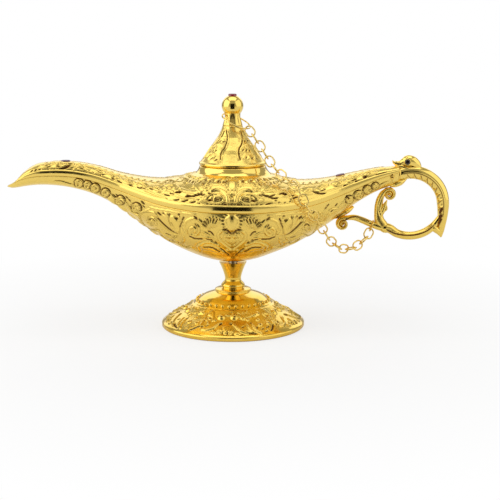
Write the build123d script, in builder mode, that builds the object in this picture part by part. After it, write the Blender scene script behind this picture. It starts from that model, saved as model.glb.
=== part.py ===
from build123d import *
from math import atan2, ceil, cos, radians, sin, sqrt
import os

os.makedirs("parts", exist_ok=True)

# A brass oil lamp in the genie form, in millimetres. The origin is the centre of the foot's
# base on the table, the spout points along -X, the handle along +X and +Z is up.

# Body, a boat-shaped vessel in two castings that meet on a seam
spout_reach = 106.8
tail_reach = 78.5
bowl_half_width = 30.0
bowl_depth = 27.2
crown_rise = 18.2
shell_wall = 1.8
seam_gap = 0.1
seam_lap = 0.4
band_height = 3.2
band_proud = 0.6
band_bevel = 0.5

# Clearances and cuts
seat_gap = 0.1
running_gap = 0.3
overrun = 2.0

# Foot and stem
foot_radius = 34.4
foot_height = 22.9
foot_wall = 2.0
foot_neck_radius = 3.9
foot_core_height = 10.0
stem_top_radius = 6.6
stem_waist_radius = 3.9
stem_height = 8.1
seat_pad_drop = 0.6

# Tie screw that holds foot, stem and bowl together
screw_radius = 2.0
screw_head_radius = 3.6
screw_head_height = 2.4
screw_slot_width = 1.0
screw_slot_depth = 1.2
screw_bite = 5.5
washer_radius = 5.2
washer_thickness = 0.8
boss_radius = 4.6
boss_cap = 1.4

# Mouth collar and lid
mouth_radius = 13.4
collar_top_radius = 15.5
collar_foot_radius = 17.9
collar_rise = 0.5
collar_root = 4.1
lid_ring_radius = 16.0
lid_ring_height = 1.9
lid_height = 18.8
lid_top_radius = 4.7
lid_wall = 1.5
lid_crown = 3.6
skirt_wall = 1.2
skirt_depth = 5.0
lid_lift = 20.0

# Finial, screwed through the top of the lid
neck_foot_radius = 4.6
neck_height = 4.4
neck_top_radius = 3.7
ball_radius = 5.07
neck_throat_share = 0.8
ball_root_share = 0.25
stud_radius = 1.5
stud_length = 8.0
nut_width = 5.5
nut_height = 2.4

# Stones: length, width and thickness of each oval
top_stone_size = (3.9, 3.9, 1.0)
spout_stone_size = (4.4, 3.4, 1.3)
tail_stone_size = (4.4, 3.4, 1.3)
side_stone_size = (2.4, 1.8, 1.1)
eye_stone_size = (2.4, 2.4, 1.3)
stone_sink_share = 0.45
stone_edge_share = 0.38
bezel_wall = 0.45
bezel_rise = 0.3
spout_stone_x_share = 0.74
tail_stone_x_share = 0.65
side_stone_drop = 2.8
side_stone_x = -1.0

# Spout mouth, an oval hole in the slanted front of the hood
wick_hole_width = 6.2
wick_hole_length = 5.0
wick_rim_wall = 0.8
wick_rim_rise = 0.5
wick_hole_depth = 4.6
wick_hole_tilt = 42.0
wick_hole_x_share = 0.918

# Handle
loop_out = 6.0
loop_rise = 0.2
loop_radius_x = 15.65
loop_radius_z = 15.3
loop_top_half = 3.2
loop_side_half = 2.9
loop_low_half = 1.95
loop_depth_share = 0.9
fin_drop = 16.0
fin_tip_half = 0.5
tenon_length = 8.0
tenon_half_height = 0.9
tenon_half_depth = 1.5
tenon_drop = 2.0
pin_x_share = 0.966
pin_radius = 0.5
rosette_radius = 2.0
rosette_thickness = 0.9
head_inward = 1.1
head_rise = 5.0
head_radius = 2.9
beak_length = 7.8
arm_half = 1.45
volute_radius = 3.5
volute_half_depth = 2.0
volute_eye_radius = 1.2
volute_eye_depth = 0.6
low_volute_x_share = 0.669
low_volute_drop = 5.6
high_volute_inward = 10.1
high_volute_rise = 4.6
branch_half = 1.6
branch_depth_half = 1.8
saddle_half_depth = 3.0

# Chain: oval links between a ring round the lid's neck and a ring round the handle's arm
wire = 0.7
link_length = 6.1
link_width = 4.7
link_play = 0.3
top_ring_radius = 7.1
top_ring_tilt = 27.0
top_ring_turn = -30.0
top_ring_drop = 2.4
arm_ring_radius = 2.6
ring_stand_off = 3.2

# Shares of edge softening
turned_edge_share = 0.33
fine_edge_share = 0.25

# Heights and places that follow from the sizes above
bowl_seat_height = foot_height + stem_height
seam_height = bowl_seat_height + seat_pad_drop + bowl_depth
collar_height = seam_height + crown_rise + collar_rise
loop_x = tail_reach + loop_out
loop_z = seam_height + loop_rise
head_x = loop_x - head_inward
head_z = loop_z + loop_radius_z + head_rise
low_volute_x = tail_reach * low_volute_x_share
high_volute_x = loop_x - high_volute_inward
high_volute_z = loop_z + high_volute_rise

# Stations of the body: share of the reach, of the half width, then the seam's rise,
# the crown above the seam and the keel below it as shares of bowl depth, crown and depth
spout_shares = (
    (0.957, 0.160, 0.412, 0.044, 0.110),
    (0.930, 0.190, 0.456, 0.154, 0.136),
    (0.880, 0.217, 0.507, 0.280, 0.162),
    (0.800, 0.230, 0.529, 0.341, 0.184),
    (0.700, 0.243, 0.511, 0.357, 0.224),
    (0.600, 0.280, 0.430, 0.374, 0.268),
    (0.500, 0.367, 0.305, 0.379, 0.357),
    (0.400, 0.517, 0.176, 0.456, 0.507),
    (0.300, 0.693, 0.081, 0.566, 0.691),
    (0.200, 0.843, 0.030, 0.753, 0.838),
    (0.100, 0.960, 0.007, 0.934, 0.952),
)
middle_shares = (0.0, 1.0, 0.0, 1.0, 1.0)
tail_shares = (
    (0.125, 0.963, -0.007, 0.956, 0.945),
    (0.250, 0.860, 0.000, 0.786, 0.831),
    (0.375, 0.720, 0.026, 0.615, 0.706),
    (0.500, 0.567, 0.088, 0.527, 0.559),
    (0.625, 0.420, 0.195, 0.445, 0.430),
    (0.750, 0.307, 0.331, 0.363, 0.294),
    (0.875, 0.223, 0.474, 0.253, 0.232),
    (1.000, 0.147, 0.581, 0.148, 0.206),
)
lip_shares = (
    (1.000, 0.040, 0.335, 0.0, 0.026),
    (0.980, 0.113, 0.371, 0.0, 0.077),
)
band_share = 0.42


def station(shares, reach):
    """Return x, half width, seam height, crown and keel of one station."""
    along, width, rise, crown, keel = shares
    return (
        along * reach,
        width * bowl_half_width,
        seam_height + rise * bowl_depth,
        crown * crown_rise,
        keel * bowl_depth,
    )


spout_stations = [station(shares, -spout_reach) for shares in spout_shares]
lip_stations = [station(shares, -spout_reach) for shares in lip_shares]
tail_stations = [station(shares, tail_reach) for shares in tail_shares]
body_stations = spout_stations + [station(middle_shares, spout_reach)] + tail_stations


def between_stations(x):
    """Return half width, seam height, crown and keel at x, between the two stations beside it."""
    for near, far in zip(body_stations, body_stations[1:]):
        if near[0] <= x <= far[0]:
            share = (x - near[0]) / (far[0] - near[0])
            return [a + share * (b - a) for a, b in zip(near[1:], far[1:])]
    raise ValueError("no station beside x")


def cross_plane(x, z):
    """A plane across the body: its x runs along the body's width and its y runs up."""
    return Plane(origin=(x, 0, z), x_dir=(0, 1, 0), z_dir=(1, 0, 0))


def bowl_section(place, grow, top):
    """Half oval below the seam, grown all round, and carried up to top above the seam."""
    x, half_width, seam, _, keel = place
    half_width = half_width + grow
    with BuildSketch(cross_plane(x, seam)) as section:
        with BuildLine():
            EllipticalCenterArc((0, 0), half_width, keel + grow, 180, arc_size=180)
            Polyline((half_width, 0), (half_width, top), (-half_width, top), (-half_width, 0))
        make_face()
    return section.sketch


def bowl_outside(place):
    """Half oval below the seam, closed by the seam's flat."""
    x, half_width, seam, _, keel = place
    with BuildSketch(cross_plane(x, seam - seam_gap / 2)) as section:
        with BuildLine():
            EllipticalCenterArc((0, 0), half_width, keel, 180, arc_size=180)
            Line((half_width, 0), (-half_width, 0))
        make_face()
    return section.sketch


def crown_section(place):
    """Polished rim band on the seam with the half oval of the crown above it."""
    x, half_width, seam, crown, _ = place
    band = min(band_height, crown * band_share)
    bevel = band * band_bevel / band_height
    outer = half_width + band_proud
    with BuildSketch(cross_plane(x, seam + seam_gap / 2)) as section:
        with BuildLine():
            Polyline(
                (-half_width, band + bevel),
                (-outer, band),
                (-outer, 0),
                (outer, 0),
                (outer, band),
                (half_width, band + bevel),
            )
            EllipticalCenterArc(
                (0, band + bevel), half_width, crown - band - bevel, 0, arc_size=180
            )
        make_face()
    return section.sketch


def crown_cavity_section(place):
    """Half oval inside the crown, carried down past the seam."""
    x, half_width, seam, crown, _ = place
    half_width = half_width - shell_wall
    height = crown - shell_wall + seam_lap
    with BuildSketch(cross_plane(x, seam - seam_lap)) as section:
        with BuildLine():
            EllipticalCenterArc((0, 0), half_width, height, 0, arc_size=180)
            Polyline(
                (-half_width, 0), (-half_width, -overrun), (half_width, -overrun), (half_width, 0)
            )
        make_face()
    return section.sketch


def past_the_tail(place):
    """The last station again, beyond the tail's end, so that a cut runs out of it."""
    return (place[0] + overrun,) + place[1:]


def stone(plane, size):
    """A domed oval stone that stands on its plane."""
    length, width, thickness = size
    with BuildPart() as gem:
        with BuildSketch(plane):
            Ellipse(length / 2, width / 2)
        extrude(amount=thickness)
        fillet(gem.faces().sort_by(Axis(plane.origin, plane.z_dir))[-1].edges(),
               thickness * stone_edge_share)
    return gem.part


def bezel(plane, size):
    """The raised oval wall that holds a stone, with its foot in the metal below."""
    length, width, thickness = size
    with BuildPart() as setting:
        with BuildSketch(plane):
            Ellipse(length / 2 + seat_gap / 2 + bezel_wall, width / 2 + seat_gap / 2 + bezel_wall)
        extrude(amount=thickness * stone_sink_share + bezel_rise)
    return setting.part


def pocket(plane, size):
    """The hollow of a setting, from the stone's back outwards."""
    length, width, _ = size
    with BuildPart() as hollow:
        with BuildSketch(plane):
            Ellipse(length / 2 + seat_gap / 2, width / 2 + seat_gap / 2)
        extrude(amount=overrun)
    return hollow.part


def sunk_plane(x, y, z, across, out, size):
    """The plane of a stone's back, sunk below a surface point along its outward normal."""
    surface = Plane(origin=(x, y, z), x_dir=across, z_dir=out)
    return surface.offset(-size[2] * stone_sink_share)


# Where the stones of the body sit
spout_stone_x = -spout_reach * spout_stone_x_share
_, spout_seam, spout_crown, _ = between_stations(spout_stone_x)
spout_stone_plane = sunk_plane(
    spout_stone_x, 0, spout_seam + spout_crown, (1, 0, 0), (0, 0, 1), spout_stone_size
)

tail_stone_x = tail_reach * tail_stone_x_share
_, tail_seam, tail_crown, _ = between_stations(tail_stone_x)
tail_low, tail_high = tail_stations[4], tail_stations[5]
tail_slope = atan2(
    tail_high[2] + tail_high[3] - tail_low[2] - tail_low[3], tail_high[0] - tail_low[0]
)
tail_stone_plane = sunk_plane(
    tail_stone_x,
    0,
    tail_seam + tail_crown,
    (cos(tail_slope), 0, sin(tail_slope)),
    (-sin(tail_slope), 0, cos(tail_slope)),
    tail_stone_size,
)

side_stone_y = bowl_half_width * sqrt(1 - (side_stone_drop / bowl_depth) ** 2)
side_stone_planes = [
    sunk_plane(
        side_stone_x,
        side * side_stone_y,
        seam_height - side_stone_drop,
        (0, 0, 1),
        (0, side, 0),
        side_stone_size,
    )
    for side in (-1, 1)
]

# The pin that holds the handle's tenon in the tail
pin_x = tail_reach * pin_x_share
pin_half_width, _, _, _ = between_stations(pin_x - rosette_radius)
tenon_z = tail_stations[-1][2] - tenon_drop
rosette_y = pin_half_width + band_proud + seat_gap / 2

# Lower bowl with its screw boss
tie_top = bowl_seat_height + screw_bite
with BuildPart() as lower_bowl:
    loft(sections=[bowl_outside(place) for place in body_stations])
    with BuildSketch(Plane.XY.offset(bowl_seat_height)):
        Circle(stem_top_radius)
    extrude(amount=shell_wall)
    cavity_stations = spout_stations[1:] + body_stations[len(spout_stations):]
    loft(
        sections=[
            bowl_section(place, -shell_wall, overrun)
            for place in cavity_stations + [past_the_tail(cavity_stations[-1])]
        ],
        mode=Mode.SUBTRACT,
    )
    with BuildSketch(Plane.XY.offset(bowl_seat_height)):
        Circle(boss_radius)
    extrude(amount=screw_bite + boss_cap)
    with BuildSketch(Plane.XY.offset(bowl_seat_height)):
        Circle(screw_radius + seat_gap / 2)
    extrude(amount=screw_bite + seat_gap, mode=Mode.SUBTRACT)
    with BuildSketch(Plane(origin=(pin_x, 0, tenon_z), x_dir=(1, 0, 0), z_dir=(0, -1, 0))):
        Circle(pin_radius + seat_gap / 2)
    extrude(amount=bowl_half_width, both=True, mode=Mode.SUBTRACT)

# The lip that runs on past the hood
with BuildPart() as spout_lip:
    loft(sections=[bowl_outside(place) for place in lip_stations + spout_stations[:1]])
with lower_bowl:
    add(spout_lip.part)
    for stone_plane in side_stone_planes:
        add(bezel(stone_plane, side_stone_size))
        add(pocket(stone_plane, side_stone_size), mode=Mode.SUBTRACT)
lower_bowl.part.label = "lower_bowl"
export_step(lower_bowl.part, "parts/lower_bowl.step")

# Upper shell with the rim band, the mouth's collar and the wick hole
wick_x = -spout_reach * wick_hole_x_share
_, wick_seam, wick_crown, _ = between_stations(wick_x)
wick_plane = Plane(
    origin=(wick_x, 0, wick_seam + wick_crown),
    x_dir=(0, 1, 0),
    z_dir=(-sin(radians(wick_hole_tilt)), 0, cos(radians(wick_hole_tilt))),
)
with BuildPart() as upper_shell:
    loft(sections=[crown_section(place) for place in body_stations])
    with BuildSketch(wick_plane.offset(-shell_wall)):
        Ellipse(wick_hole_width / 2 + wick_rim_wall, wick_hole_length / 2 + wick_rim_wall)
    extrude(amount=shell_wall + wick_rim_rise)
    add(bezel(spout_stone_plane, spout_stone_size))
    add(bezel(tail_stone_plane, tail_stone_size))
    with BuildSketch(Plane.XZ):
        with BuildLine():
            Polyline(
                (mouth_radius, collar_height - collar_root - shell_wall),
                (collar_foot_radius, collar_height - collar_root - shell_wall),
                (collar_foot_radius, collar_height - collar_root),
            )
            Spline(
                (collar_foot_radius, collar_height - collar_root),
                (collar_top_radius, collar_height),
                tangents=((-1, 0), (0, 1)),
            )
            Polyline(
                (collar_top_radius, collar_height),
                (mouth_radius, collar_height),
                (mouth_radius, collar_height - collar_root - shell_wall),
            )
        make_face()
    revolve(axis=Axis.Z)
    loft(
        sections=[
            crown_cavity_section(place)
            for place in cavity_stations + [past_the_tail(cavity_stations[-1])]
        ],
        mode=Mode.SUBTRACT,
    )
    with BuildSketch(Plane.XY.offset(seam_height)):
        Circle(mouth_radius)
    extrude(amount=collar_height, mode=Mode.SUBTRACT)
    with BuildSketch(wick_plane.offset(wick_rim_rise)):
        Ellipse(wick_hole_width / 2, wick_hole_length / 2)
    extrude(amount=-wick_hole_depth, mode=Mode.SUBTRACT)
    add(pocket(spout_stone_plane, spout_stone_size), mode=Mode.SUBTRACT)
    add(pocket(tail_stone_plane, tail_stone_size), mode=Mode.SUBTRACT)
upper_shell.part.label = "upper_shell"
export_step(upper_shell.part, "parts/upper_shell.step")

# Stones of the body
for name, stone_plane, size in (
    ("spout_stone", spout_stone_plane, spout_stone_size),
    ("tail_stone", tail_stone_plane, tail_stone_size),
    ("front_stone", side_stone_planes[0], side_stone_size),
    ("back_stone", side_stone_planes[1], side_stone_size),
):
    gem = stone(stone_plane, size)
    gem.label = name
    export_step(gem, f"parts/{name}.step")

# Foot: outline as shares of its radius and height
foot_slope_shares = ((1.0, 0.096), (0.855, 0.242), (0.703, 0.352), (0.567, 0.500))
foot_ring_shares = ((0.567, 0.500), (0.506, 0.522), (0.506, 0.582), (0.462, 0.608))
foot_dome_shares = ((0.462, 0.608), (0.395, 0.670), (0.250, 0.742))
foot_bead_shares = ((0.250, 0.742), (0.250, 0.795), (0.151, 0.817))
foot_bulge_shares = ((0.151, 0.817), (0.166, 0.873), (0.113, 0.969))
foot_hollow_shares = foot_slope_shares[1:]


def foot_points(shares, drop=0):
    """Points of the foot's outline, lowered by a wall where they belong to its hollow."""
    return [(radius * foot_radius, height * foot_height - drop) for radius, height in shares]


neck_start = foot_points(foot_bulge_shares)[-1]
with BuildPart() as foot:
    with BuildSketch(Plane.XZ):
        with BuildLine():
            Line((foot_radius, 0), foot_points(foot_slope_shares)[0])
            Spline(*foot_points(foot_slope_shares))
            Polyline(*foot_points(foot_ring_shares))
            Spline(*foot_points(foot_dome_shares))
            Polyline(*foot_points(foot_bead_shares))
            Spline(*foot_points(foot_bulge_shares))
            Polyline(neck_start, (foot_neck_radius, foot_height), (0, foot_height), (0, 0),
                     (foot_radius, 0))
        make_face()
    revolve(axis=Axis.Z)
    hollow_points = foot_points(foot_hollow_shares, foot_wall)
    with BuildSketch(Plane.XZ):
        with BuildLine():
            Polyline((0, 0), (foot_radius - foot_wall, 0), hollow_points[0])
            Spline(*hollow_points)
            Polyline(hollow_points[-1], (washer_radius, foot_height - foot_core_height),
                     (0, foot_height - foot_core_height), (0, 0))
        make_face()
    revolve(axis=Axis.Z, mode=Mode.SUBTRACT)
    with BuildSketch(Plane.XY):
        Circle(screw_radius + running_gap / 2)
    extrude(amount=foot_height, mode=Mode.SUBTRACT)
foot.part.label = "foot"
export_step(foot.part, "parts/foot.step")

# Stem between the foot and the bowl
stem_rise = bowl_seat_height - foot_height
stem_curve_shares = ((0.10, 0.0), (0.62, 0.48), (1.0, 1.0))
with BuildPart() as stem:
    with BuildSketch(Plane.XZ):
        with BuildLine():
            stem_points = [
                (
                    stem_waist_radius + out * (stem_top_radius - stem_waist_radius),
                    foot_height + up * stem_rise,
                )
                for up, out in stem_curve_shares
            ]
            Spline(*stem_points)
            Polyline(stem_points[-1], (screw_radius + running_gap / 2, bowl_seat_height),
                     (screw_radius + running_gap / 2, foot_height),
                     (stem_waist_radius, foot_height), stem_points[0])
        make_face()
    revolve(axis=Axis.Z)
stem.part.label = "stem"
export_step(stem.part, "parts/stem.step")

# Tie screw and its washer, under the foot's core
washer_top = foot_height - foot_core_height
head_top = washer_top - washer_thickness
with BuildPart() as tie_washer:
    with BuildSketch(Plane.XY.offset(head_top)):
        Circle(washer_radius - seat_gap)
        Circle(screw_radius + running_gap / 2, mode=Mode.SUBTRACT)
    extrude(amount=washer_thickness)
tie_washer.part.label = "tie_washer"
export_step(tie_washer.part, "parts/tie_washer.step")

with BuildPart() as tie_screw:
    with BuildSketch(Plane.XY.offset(head_top - screw_head_height)):
        Circle(screw_head_radius)
    extrude(amount=screw_head_height)
    fillet(tie_screw.faces().sort_by(Axis.Z)[0].edges(), screw_head_height * turned_edge_share)
    with BuildSketch(Plane.XY.offset(head_top)):
        Circle(screw_radius)
    extrude(amount=tie_top - head_top)
    chamfer(tie_screw.faces().sort_by(Axis.Z)[-1].edges(), screw_radius * fine_edge_share)
    with BuildSketch(Plane.XY.offset(head_top - screw_head_height)):
        Rectangle(2 * screw_head_radius, screw_slot_width)
    extrude(amount=screw_slot_depth, mode=Mode.SUBTRACT)
tie_screw.part.label = "tie_screw"
export_step(tie_screw.part, "parts/tie_screw.step")

# Lid: a hollow cone with a rolled ring at its base, seated on the collar
lid_base = collar_height + seat_gap
lid_top = lid_base + lid_height
lid_ring_top = lid_base + lid_ring_height
lid_side_shares = ((0.940, 0.106), (0.695, 0.415), (0.440, 0.720), (0.330, 0.900))
lid_points = [
    (radius * lid_ring_radius, lid_base + height * lid_height)
    for radius, height in lid_side_shares
]
with BuildPart() as lid:
    with BuildSketch(Plane.XZ):
        with BuildLine():
            ThreePointArc(
                (lid_ring_radius - lid_ring_height / 2, lid_base),
                (lid_ring_radius, lid_base + lid_ring_height / 2),
                (lid_ring_radius - lid_ring_height / 2, lid_ring_top),
            )
            Line((lid_ring_radius - lid_ring_height / 2, lid_ring_top), lid_points[0])
            Spline(*lid_points, (lid_top_radius, lid_top))
            Polyline((lid_top_radius, lid_top), (0, lid_top), (0, lid_base),
                     (lid_ring_radius - lid_ring_height / 2, lid_base))
        make_face()
    revolve(axis=Axis.Z)
    with BuildSketch(Plane.XZ):
        with BuildLine():
            skirt_seat = mouth_radius - running_gap
            inside = [(radius - lid_wall, height) for radius, height in lid_points[1:3]]
            Line((0, lid_base), (skirt_seat, lid_base))
            Line((skirt_seat, lid_base), (skirt_seat, lid_base + lid_wall))
            Spline((skirt_seat, lid_base + lid_wall), *inside,
                   (inside[-1][0] * lid_top_radius / neck_foot_radius, lid_top - lid_crown))
            Polyline((inside[-1][0] * lid_top_radius / neck_foot_radius, lid_top - lid_crown),
                     (0, lid_top - lid_crown), (0, lid_base))
        make_face()
    revolve(axis=Axis.Z, mode=Mode.SUBTRACT)
    with BuildSketch(Plane.XY.offset(lid_top)):
        Circle(stud_radius + seat_gap / 2)
    extrude(amount=-lid_height, mode=Mode.SUBTRACT)
lid.part.label = "lid"
export_step(lid.part, "parts/lid.step")

# Locating skirt under the lid
with BuildPart() as lid_skirt:
    with BuildSketch(Plane.XY.offset(lid_base - skirt_depth)):
        Circle(skirt_seat - seat_gap / 2)
        Circle(skirt_seat - seat_gap / 2 - skirt_wall, mode=Mode.SUBTRACT)
    extrude(amount=skirt_depth + lid_wall - seat_gap)
    chamfer(lid_skirt.faces().sort_by(Axis.Z)[0].edges(), skirt_wall * turned_edge_share)
lid_skirt.part.label = "lid_skirt"
export_step(lid_skirt.part, "parts/lid_skirt.step")

# Finial: neck, ball and threaded stud in one turning, with the stone's seat on top
ball_z = lid_top + neck_height + sqrt(ball_radius ** 2 - (neck_top_radius / 2) ** 2)
top_stone_plane = sunk_plane(0, 0, ball_z + ball_radius, (1, 0, 0), (0, 0, 1), top_stone_size)
with BuildPart() as finial:
    with BuildSketch(Plane.XZ):
        with BuildLine():
            Polyline((0, lid_top - stud_length), (stud_radius, lid_top - stud_length),
                     (stud_radius, lid_top), (neck_foot_radius, lid_top))
            Spline(
                (neck_foot_radius, lid_top),
                (neck_top_radius, lid_top + neck_height * neck_throat_share),
                (neck_top_radius, lid_top + neck_height + ball_radius * ball_root_share),
            )
            Polyline((neck_top_radius, lid_top + neck_height + ball_radius * ball_root_share),
                     (0, lid_top + neck_height + ball_radius * ball_root_share), (0, lid_top - stud_length))
        make_face()
    revolve(axis=Axis.Z)
    with Locations((0, 0, ball_z)):
        Sphere(ball_radius)
    chamfer(finial.faces().sort_by(Axis.Z)[0].edges(), stud_radius * fine_edge_share)
    add(pocket(top_stone_plane, top_stone_size), mode=Mode.SUBTRACT)
finial.part.label = "finial"
export_step(finial.part, "parts/finial.step")

finial_stone = stone(top_stone_plane, top_stone_size)
finial_stone.label = "finial_stone"
export_step(finial_stone, "parts/finial_stone.step")

with BuildPart() as finial_nut:
    with BuildSketch(Plane.XY.offset(lid_top - lid_crown - nut_height)):
        RegularPolygon(nut_width / 2, 6, major_radius=False)
        Circle(stud_radius + seat_gap / 2, mode=Mode.SUBTRACT)
    extrude(amount=nut_height)
finial_nut.part.label = "finial_nut"
export_step(finial_nut.part, "parts/finial_nut.step")


def bar_plane(x, z, run_x, run_z):
    """A plane across a bar that runs in the XZ plane: its x is the bar's depth."""
    return Plane(origin=(x, 0, z), x_dir=(0, 1, 0), z_dir=(run_x, 0, run_z))


def bar_section(x, z, run_x, run_z, half, depth_half):
    """An oval section of a cast bar."""
    with BuildSketch(bar_plane(x, z, run_x, run_z)) as section:
        Ellipse(depth_half, half)
    return section.sketch


def bar(points, halves, depth_halves, first_run=None, last_run=None):
    """A tapering oval bar through points in the XZ plane."""
    sections = []
    for index, (x, z) in enumerate(points):
        before = points[max(index - 1, 0)]
        after = points[min(index + 1, len(points) - 1)]
        run = (after[0] - before[0], after[1] - before[1])
        if index == 0 and first_run:
            run = first_run
        if index == len(points) - 1 and last_run:
            run = last_run
        sections.append(bar_section(x, z, run[0], run[1], halves[index], depth_halves[index]))
    with BuildPart() as casting:
        loft(sections=sections)
    return casting.part


def loop_point(angle):
    """A point of the handle's loop, by its angle from +X."""
    return (
        loop_x + loop_radius_x * cos(radians(angle)),
        loop_z + loop_radius_z * sin(radians(angle)),
    )


# Handle loop: a serpent's body from the tail's end round to a pointed fin
loop_angles = (112, 98, 82, 66, 50, 34, 18, 2)
loop_first = (tail_reach + seat_gap, loop_point(loop_angles[0])[1])
fin_shares = ((0.0, 0.30, 0.86), (-0.02, 0.60, 0.60), (-0.035, 0.85, 0.32), (-0.03, 1.0, 0.0))
loop_points = [loop_first] + [loop_point(angle) for angle in loop_angles[1:]]
loop_halves = [
    loop_side_half + (loop_top_half - loop_side_half) * max(sin(radians(angle)), 0)
    for angle in loop_angles
]
fin_points = [
    (loop_x + loop_radius_x * (1 + inward), loop_z - fin_drop * down)
    for inward, down, _ in fin_shares
]
fin_halves = [fin_tip_half + (loop_side_half - fin_tip_half) * share for _, _, share in fin_shares]
body_halves = loop_halves + fin_halves

# Lower arc of the loop, from the fin to the arm
arc_angles = (-28, -45, -62, -79, -96, -113, -130)
arc_points = [loop_point(angle) for angle in arc_angles]
arc_end_shares = (0.79, 0.755)
arc_end = (loop_x - loop_radius_x * arc_end_shares[0], loop_z - loop_radius_z * arc_end_shares[1])
arc_points.append(arc_end)
arc_half_shares = (0.7, 0.9, 1.0, 1.0, 1.0, 1.0, 0.95, 0.85)
arc_halves = [loop_low_half * share for share in arc_half_shares]

eye_out_share = 0.9
eye_back_share = 0.33
eye_plane_out = head_radius * eye_out_share
eye_planes = [
    sunk_plane(
        head_x - head_radius * eye_back_share, side * eye_plane_out, head_z, (1, 0, 0), (0, side, 0),
        eye_stone_size,
    )
    for side in (-1, 1)
]
head_shares = (
    (-1.0, 0.17, 0.10), (-0.75, 0.10, 0.26), (-0.5, 0.03, 0.50), (-0.25, 0.0, 0.86),
    (0.0, 0.0, 1.0), (0.25, -0.12, 0.85), (0.46, -0.35, 0.35),
)
with BuildPart() as handle_loop:
    add(bar(loop_points + fin_points, body_halves,
            [half * loop_depth_share for half in body_halves], first_run=(1, 0)))
    add(bar(arc_points, arc_halves, arc_halves))
    add(bar([(head_x + along * beak_length, head_z + up * head_radius)
             for along, up, _ in head_shares],
            [head_radius * share for _, _, share in head_shares],
            [head_radius * share * loop_depth_share for _, _, share in head_shares],
            first_run=(1, 0), last_run=(1, 0)))
    for eye_plane in eye_planes:
        add(bezel(eye_plane, eye_stone_size))
    for eye_plane in eye_planes:
        add(pocket(eye_plane, eye_stone_size), mode=Mode.SUBTRACT)
    with BuildSketch(cross_plane(loop_points[1][0], tenon_z)):
        Rectangle(2 * tenon_half_depth, 2 * tenon_half_height)
    extrude(amount=-(tenon_length + loop_points[1][0] - loop_first[0]))
    with BuildSketch(Plane(origin=(pin_x, 0, tenon_z), x_dir=(1, 0, 0), z_dir=(0, -1, 0))):
        Circle(pin_radius + seat_gap / 2)
    extrude(amount=bowl_half_width, both=True, mode=Mode.SUBTRACT)
handle_loop.part.label = "handle_loop"
export_step(handle_loop.part, "parts/handle_loop.step")

for name, eye_plane in (("front_eye_stone", eye_planes[0]), ("back_eye_stone", eye_planes[1])):
    gem = stone(eye_plane, eye_stone_size)
    gem.label = name
    export_step(gem, f"parts/{name}.step")

# Pin through the tail and the handle's tenon, with a rosette at each end
with BuildPart() as tail_pin:
    with BuildSketch(Plane(origin=(pin_x, 0, tenon_z), x_dir=(1, 0, 0), z_dir=(0, -1, 0))):
        Circle(pin_radius)
    extrude(amount=rosette_y, both=True)
    for side in (-1, 1):
        with BuildSketch(Plane(origin=(pin_x, side * rosette_y, tenon_z), x_dir=(1, 0, 0),
                               z_dir=(0, side, 0))):
            Circle(rosette_radius)
        extrude(amount=rosette_thickness)
    fillet(tail_pin.faces().sort_by(Axis.Y)[0].edges(), rosette_thickness / 2)
    fillet(tail_pin.faces().sort_by(Axis.Y)[-1].edges(), rosette_thickness / 2)
tail_pin.part.label = "tail_pin"
export_step(tail_pin.part, "parts/tail_pin.step")


def volute(x, z):
    """A rolled scroll end with a sunk eye on both faces."""
    with BuildPart() as roll:
        with BuildSketch(Plane(origin=(x, 0, z), x_dir=(1, 0, 0), z_dir=(0, -1, 0))):
            Circle(volute_radius)
        extrude(amount=volute_half_depth, both=True)
        fillet(roll.edges().filter_by(GeomType.CIRCLE), volute_half_depth * turned_edge_share)
        for side in (-1, 1):
            with BuildSketch(Plane(origin=(x, side * volute_half_depth, z), x_dir=(1, 0, 0),
                                   z_dir=(0, -side, 0))):
                Circle(volute_eye_radius)
            extrude(amount=volute_eye_depth, mode=Mode.SUBTRACT)
    return roll.part


# Arm from the loop to a saddle under the bowl
saddle_shares = ((-1.7, 0.25), (-0.5, 0.0), (0.9, 0.6), (0.9, 2.6), (-1.7, 2.6))
_, low_volute_seam, _, low_volute_keel = between_stations(low_volute_x)
low_volute_z = low_volute_seam - low_volute_keel - low_volute_drop
arm_end = (arc_end[0] - seat_gap, arc_end[1])
arm_shares = (
    (0.0, 0.0), (0.14, 0.10), (0.32, 0.32), (0.52, 0.64), (0.74, 0.90), (0.92, 0.94), (1.04, 0.72),
)
arm_run = arm_end[0] - low_volute_x
arm_rise = low_volute_z + volute_radius - arm_end[1]
arm_points = [(arm_end[0] - along * arm_run, arm_end[1] + up * arm_rise)
              for along, up in arm_shares]
saddle_points = [(low_volute_x + along * volute_radius, low_volute_z + up * volute_radius)
                 for along, up in saddle_shares]
with BuildPart() as bowl_envelope:
    loft(sections=[bowl_section(place, seat_gap, bowl_depth) for place in body_stations])
with BuildPart() as handle_bracket:
    add(bar(arm_points, [arm_half] * len(arm_points), [arm_half] * len(arm_points),
            first_run=(-1, 0)))
    add(volute(low_volute_x, low_volute_z))
    with BuildSketch(Plane(origin=(0, 0, 0), x_dir=(1, 0, 0), z_dir=(0, -1, 0))):
        with BuildLine():
            Polyline(*saddle_points, close=True)
        make_face()
    extrude(amount=saddle_half_depth, both=True)
    add(bowl_envelope.part, mode=Mode.SUBTRACT)
handle_bracket.part.label = "handle_bracket"
export_step(handle_bracket.part, "parts/handle_bracket.step")

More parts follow.
